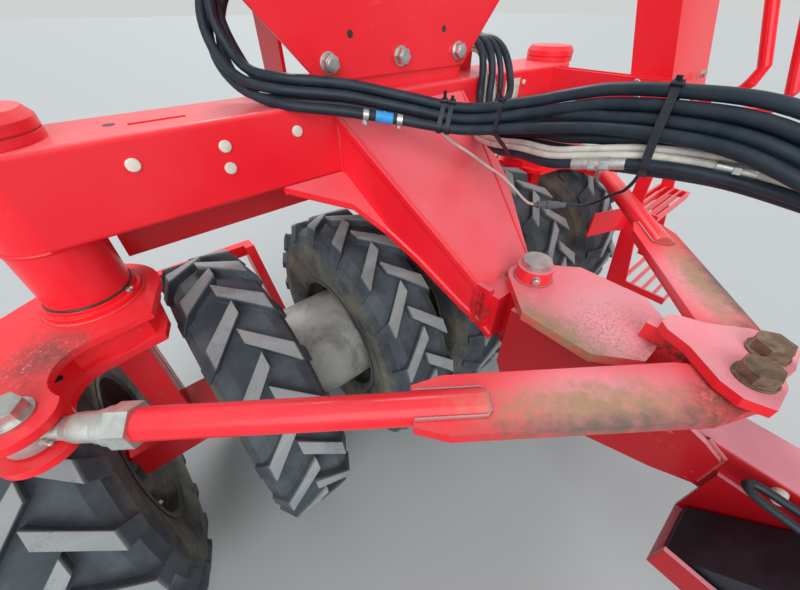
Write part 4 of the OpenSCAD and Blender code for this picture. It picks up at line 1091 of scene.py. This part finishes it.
def rod_parts():
    """The stepped collar on each rod end, and the weld where the tube is let into its flat bar."""
    for name, side in SIDES.items():
        ahead = rod_point(side, 1, 0) - rod_point(side, 0, 0)
        bm = bmesh.new()
        for start, run, radius, far_radius in (
            (0, 9, 29, 29), (9, 13, 26, 25), (22, 34, 23, 22), (56, 16, 22, 17.2),
        ):
            spot = rod_point(side, NUT_END + start, 0)
            add_disc(bm, spot, ahead, radius, run, far_radius, sides=40, round_top=1.2)
        add_grease_nipple(bm, (side * 851, -270, 820), (-side * 0.6, -0.8, 0))
        make_piece("rod_collar_" + name, bm, "forged_zinc", "tie_rod_" + name)
        corners = [(488, 24), (384, 24), (377, 16), (377, -16), (384, -24), (488, -24)]
        seam = [rod_point(side, along, across, 11) for along, across in corners]
        weld_piece("rod_weld_" + name, [seam], 3.4, "weld_head", "tie_rod_" + name)


STEM_RING, STEM_OUT = 183, 51
STEM_SIDE = Vector((0, 0.97, 0.24))


def valve_stems():
    """A rubber stem with its cap, in the slope of each rim's well."""
    for name, side in SIDES.items():
        for body, rims in (("outer", (("outer", -1),)), ("inner", (("middle", 1), ("inner", -1)))):
            bm = bmesh.new()
            for wheel, way in rims:
                well = Vector((side * (WHEEL_X[wheel] + way * STEM_OUT), 0, AXLE_Z))
                spot = well - STEM_SIDE * STEM_RING
                lean = (Vector((side * way, 0, 0)) + STEM_SIDE * 0.5).normalized()
                add_disc(bm, spot, lean, 6.5, 16, 5)
                add_disc(bm, spot + lean * 15, lean, 3.6, 12)
                add_disc(bm, spot + lean * 26, lean, 5, 11, round_top=2)
            make_piece(f"valve_stems_{name}_{body}", bm, "old_nylon", f"wheel_{name}_{body}")


def welds():
    neck = []
    gussets = []
    for s in SIDES.values():
        neck.append([(s * 196, -84, 1119), (s * 89, -450, 811)])
        neck.append([(s * 197, -83.5, 1118), (s * 197, -83.5, 985)])
        neck.append([(s * 345, -84, 983.5), (s * 200, -84, 983.5)])
        gussets.append([(s * 49, -899, 753), (s * 49, -931, 735), (s * 49, -931, 654)])
    weld_piece("neck_welds", neck, 3.4, "weld_red", "frame")
    rings = [ring_route((s * KINGPIN_X, 0, z), 71, 100) for s in SIDES.values() for z in (994, 1145.5)]
    weld_piece("housing_welds", rings, 3, "weld_red", "frame")
    weld_piece("boss_weld", [ring_route((0, PIN_Y, HEAD_TOP + 1), 39, 60)], 3, "weld_head", "drawbar")
    weld_piece("gusset_welds", gussets, 4.2, "weld_head", "drawbar")
    for name, side in SIDES.items():
        x = side * KINGPIN_X
        seams = [[(x - 32, y, 782), (x + 32, y, 782)] for y in (-67.5, 67.5)]
        seams.append(ring_route((x, 0, ARM_TOP + 1), 83, 110))
        weld_piece("knuckle_welds_" + name, seams, 3, "weld_red", "knuckle_" + name)


beam_fasteners()
kingpin_parts()
head_parts()
sleeve_parts()
plug_cable()
rod_parts()
wheel_parts()
valve_stems()
plates_on_beam()
chock_parts()
welds()


# Floor and light

FLOOR = (0.385, 0.405, 0.405, 1)
BACKDROP = (0.62, 0.64, 0.63, 1)
SKY = (0.93, 0.96, 1.0, 1)
SKY_STRENGTH = 0.8


def make_stage():
    floor_bm = bmesh.new()
    bmesh.ops.create_grid(floor_bm, x_segments=1, y_segments=1, size=60)
    mesh = bpy.data.meshes.new("floor")
    floor_bm.to_mesh(mesh)
    floor_bm.free()
    floor = bpy.data.objects.new("floor", mesh)
    bpy.context.scene.collection.objects.link(floor)
    finish, tree, shader, _ = new_finish("pale_floor")
    set_inputs(tree, shader, Base_Color=FLOOR, Roughness=0.8)
    mesh.materials.append(finish)

    world = bpy.data.worlds.new("studio")
    world.use_nodes = True
    tree = world.node_tree
    sky = tree.nodes["Background"]
    rays = add_node(tree, "ShaderNodeLightPath").outputs
    mirrored = calc(tree, "MAXIMUM", rays["Is Glossy Ray"], rays["Is Transmission Ray"])
    seen = calc(tree, "MAXIMUM", rays["Is Camera Ray"], mirrored)
    backdrop = add_node(tree, "ShaderNodeBackground", {"Color": BACKDROP, "Strength": 1.0}).outputs[0]
    sky.inputs["Color"].default_value = SKY
    sky.inputs["Strength"].default_value = SKY_STRENGTH
    both = add_node(tree, "ShaderNodeMixShader", {0: seen, 1: sky.outputs[0], 2: backdrop}).outputs[0]
    tree.links.new(both, tree.nodes["World Output"].inputs["Surface"])
    bpy.context.scene.world = world

    for name, spot, softness, power in (
        ("key_light", (1500, 2600, 3600), 0.35, 1.9),
        ("fill_light", (-2200, -2600, 2600), 0.9, 2.0),
    ):
        lamp = bpy.data.lights.new(name, "SUN")
        lamp.angle = softness
        lamp.energy = power
        holder = bpy.data.objects.new(name, lamp)
        bpy.context.scene.collection.objects.link(holder)
        start = place(*spot)
        aimed = (place(0, 0, 700) - start).to_track_quat("-Z", "Y").to_matrix().to_4x4()
        holder.matrix_world = Matrix.Translation(start) @ aimed


make_stage()
bpy.context.scene.view_settings.view_transform = "Standard"
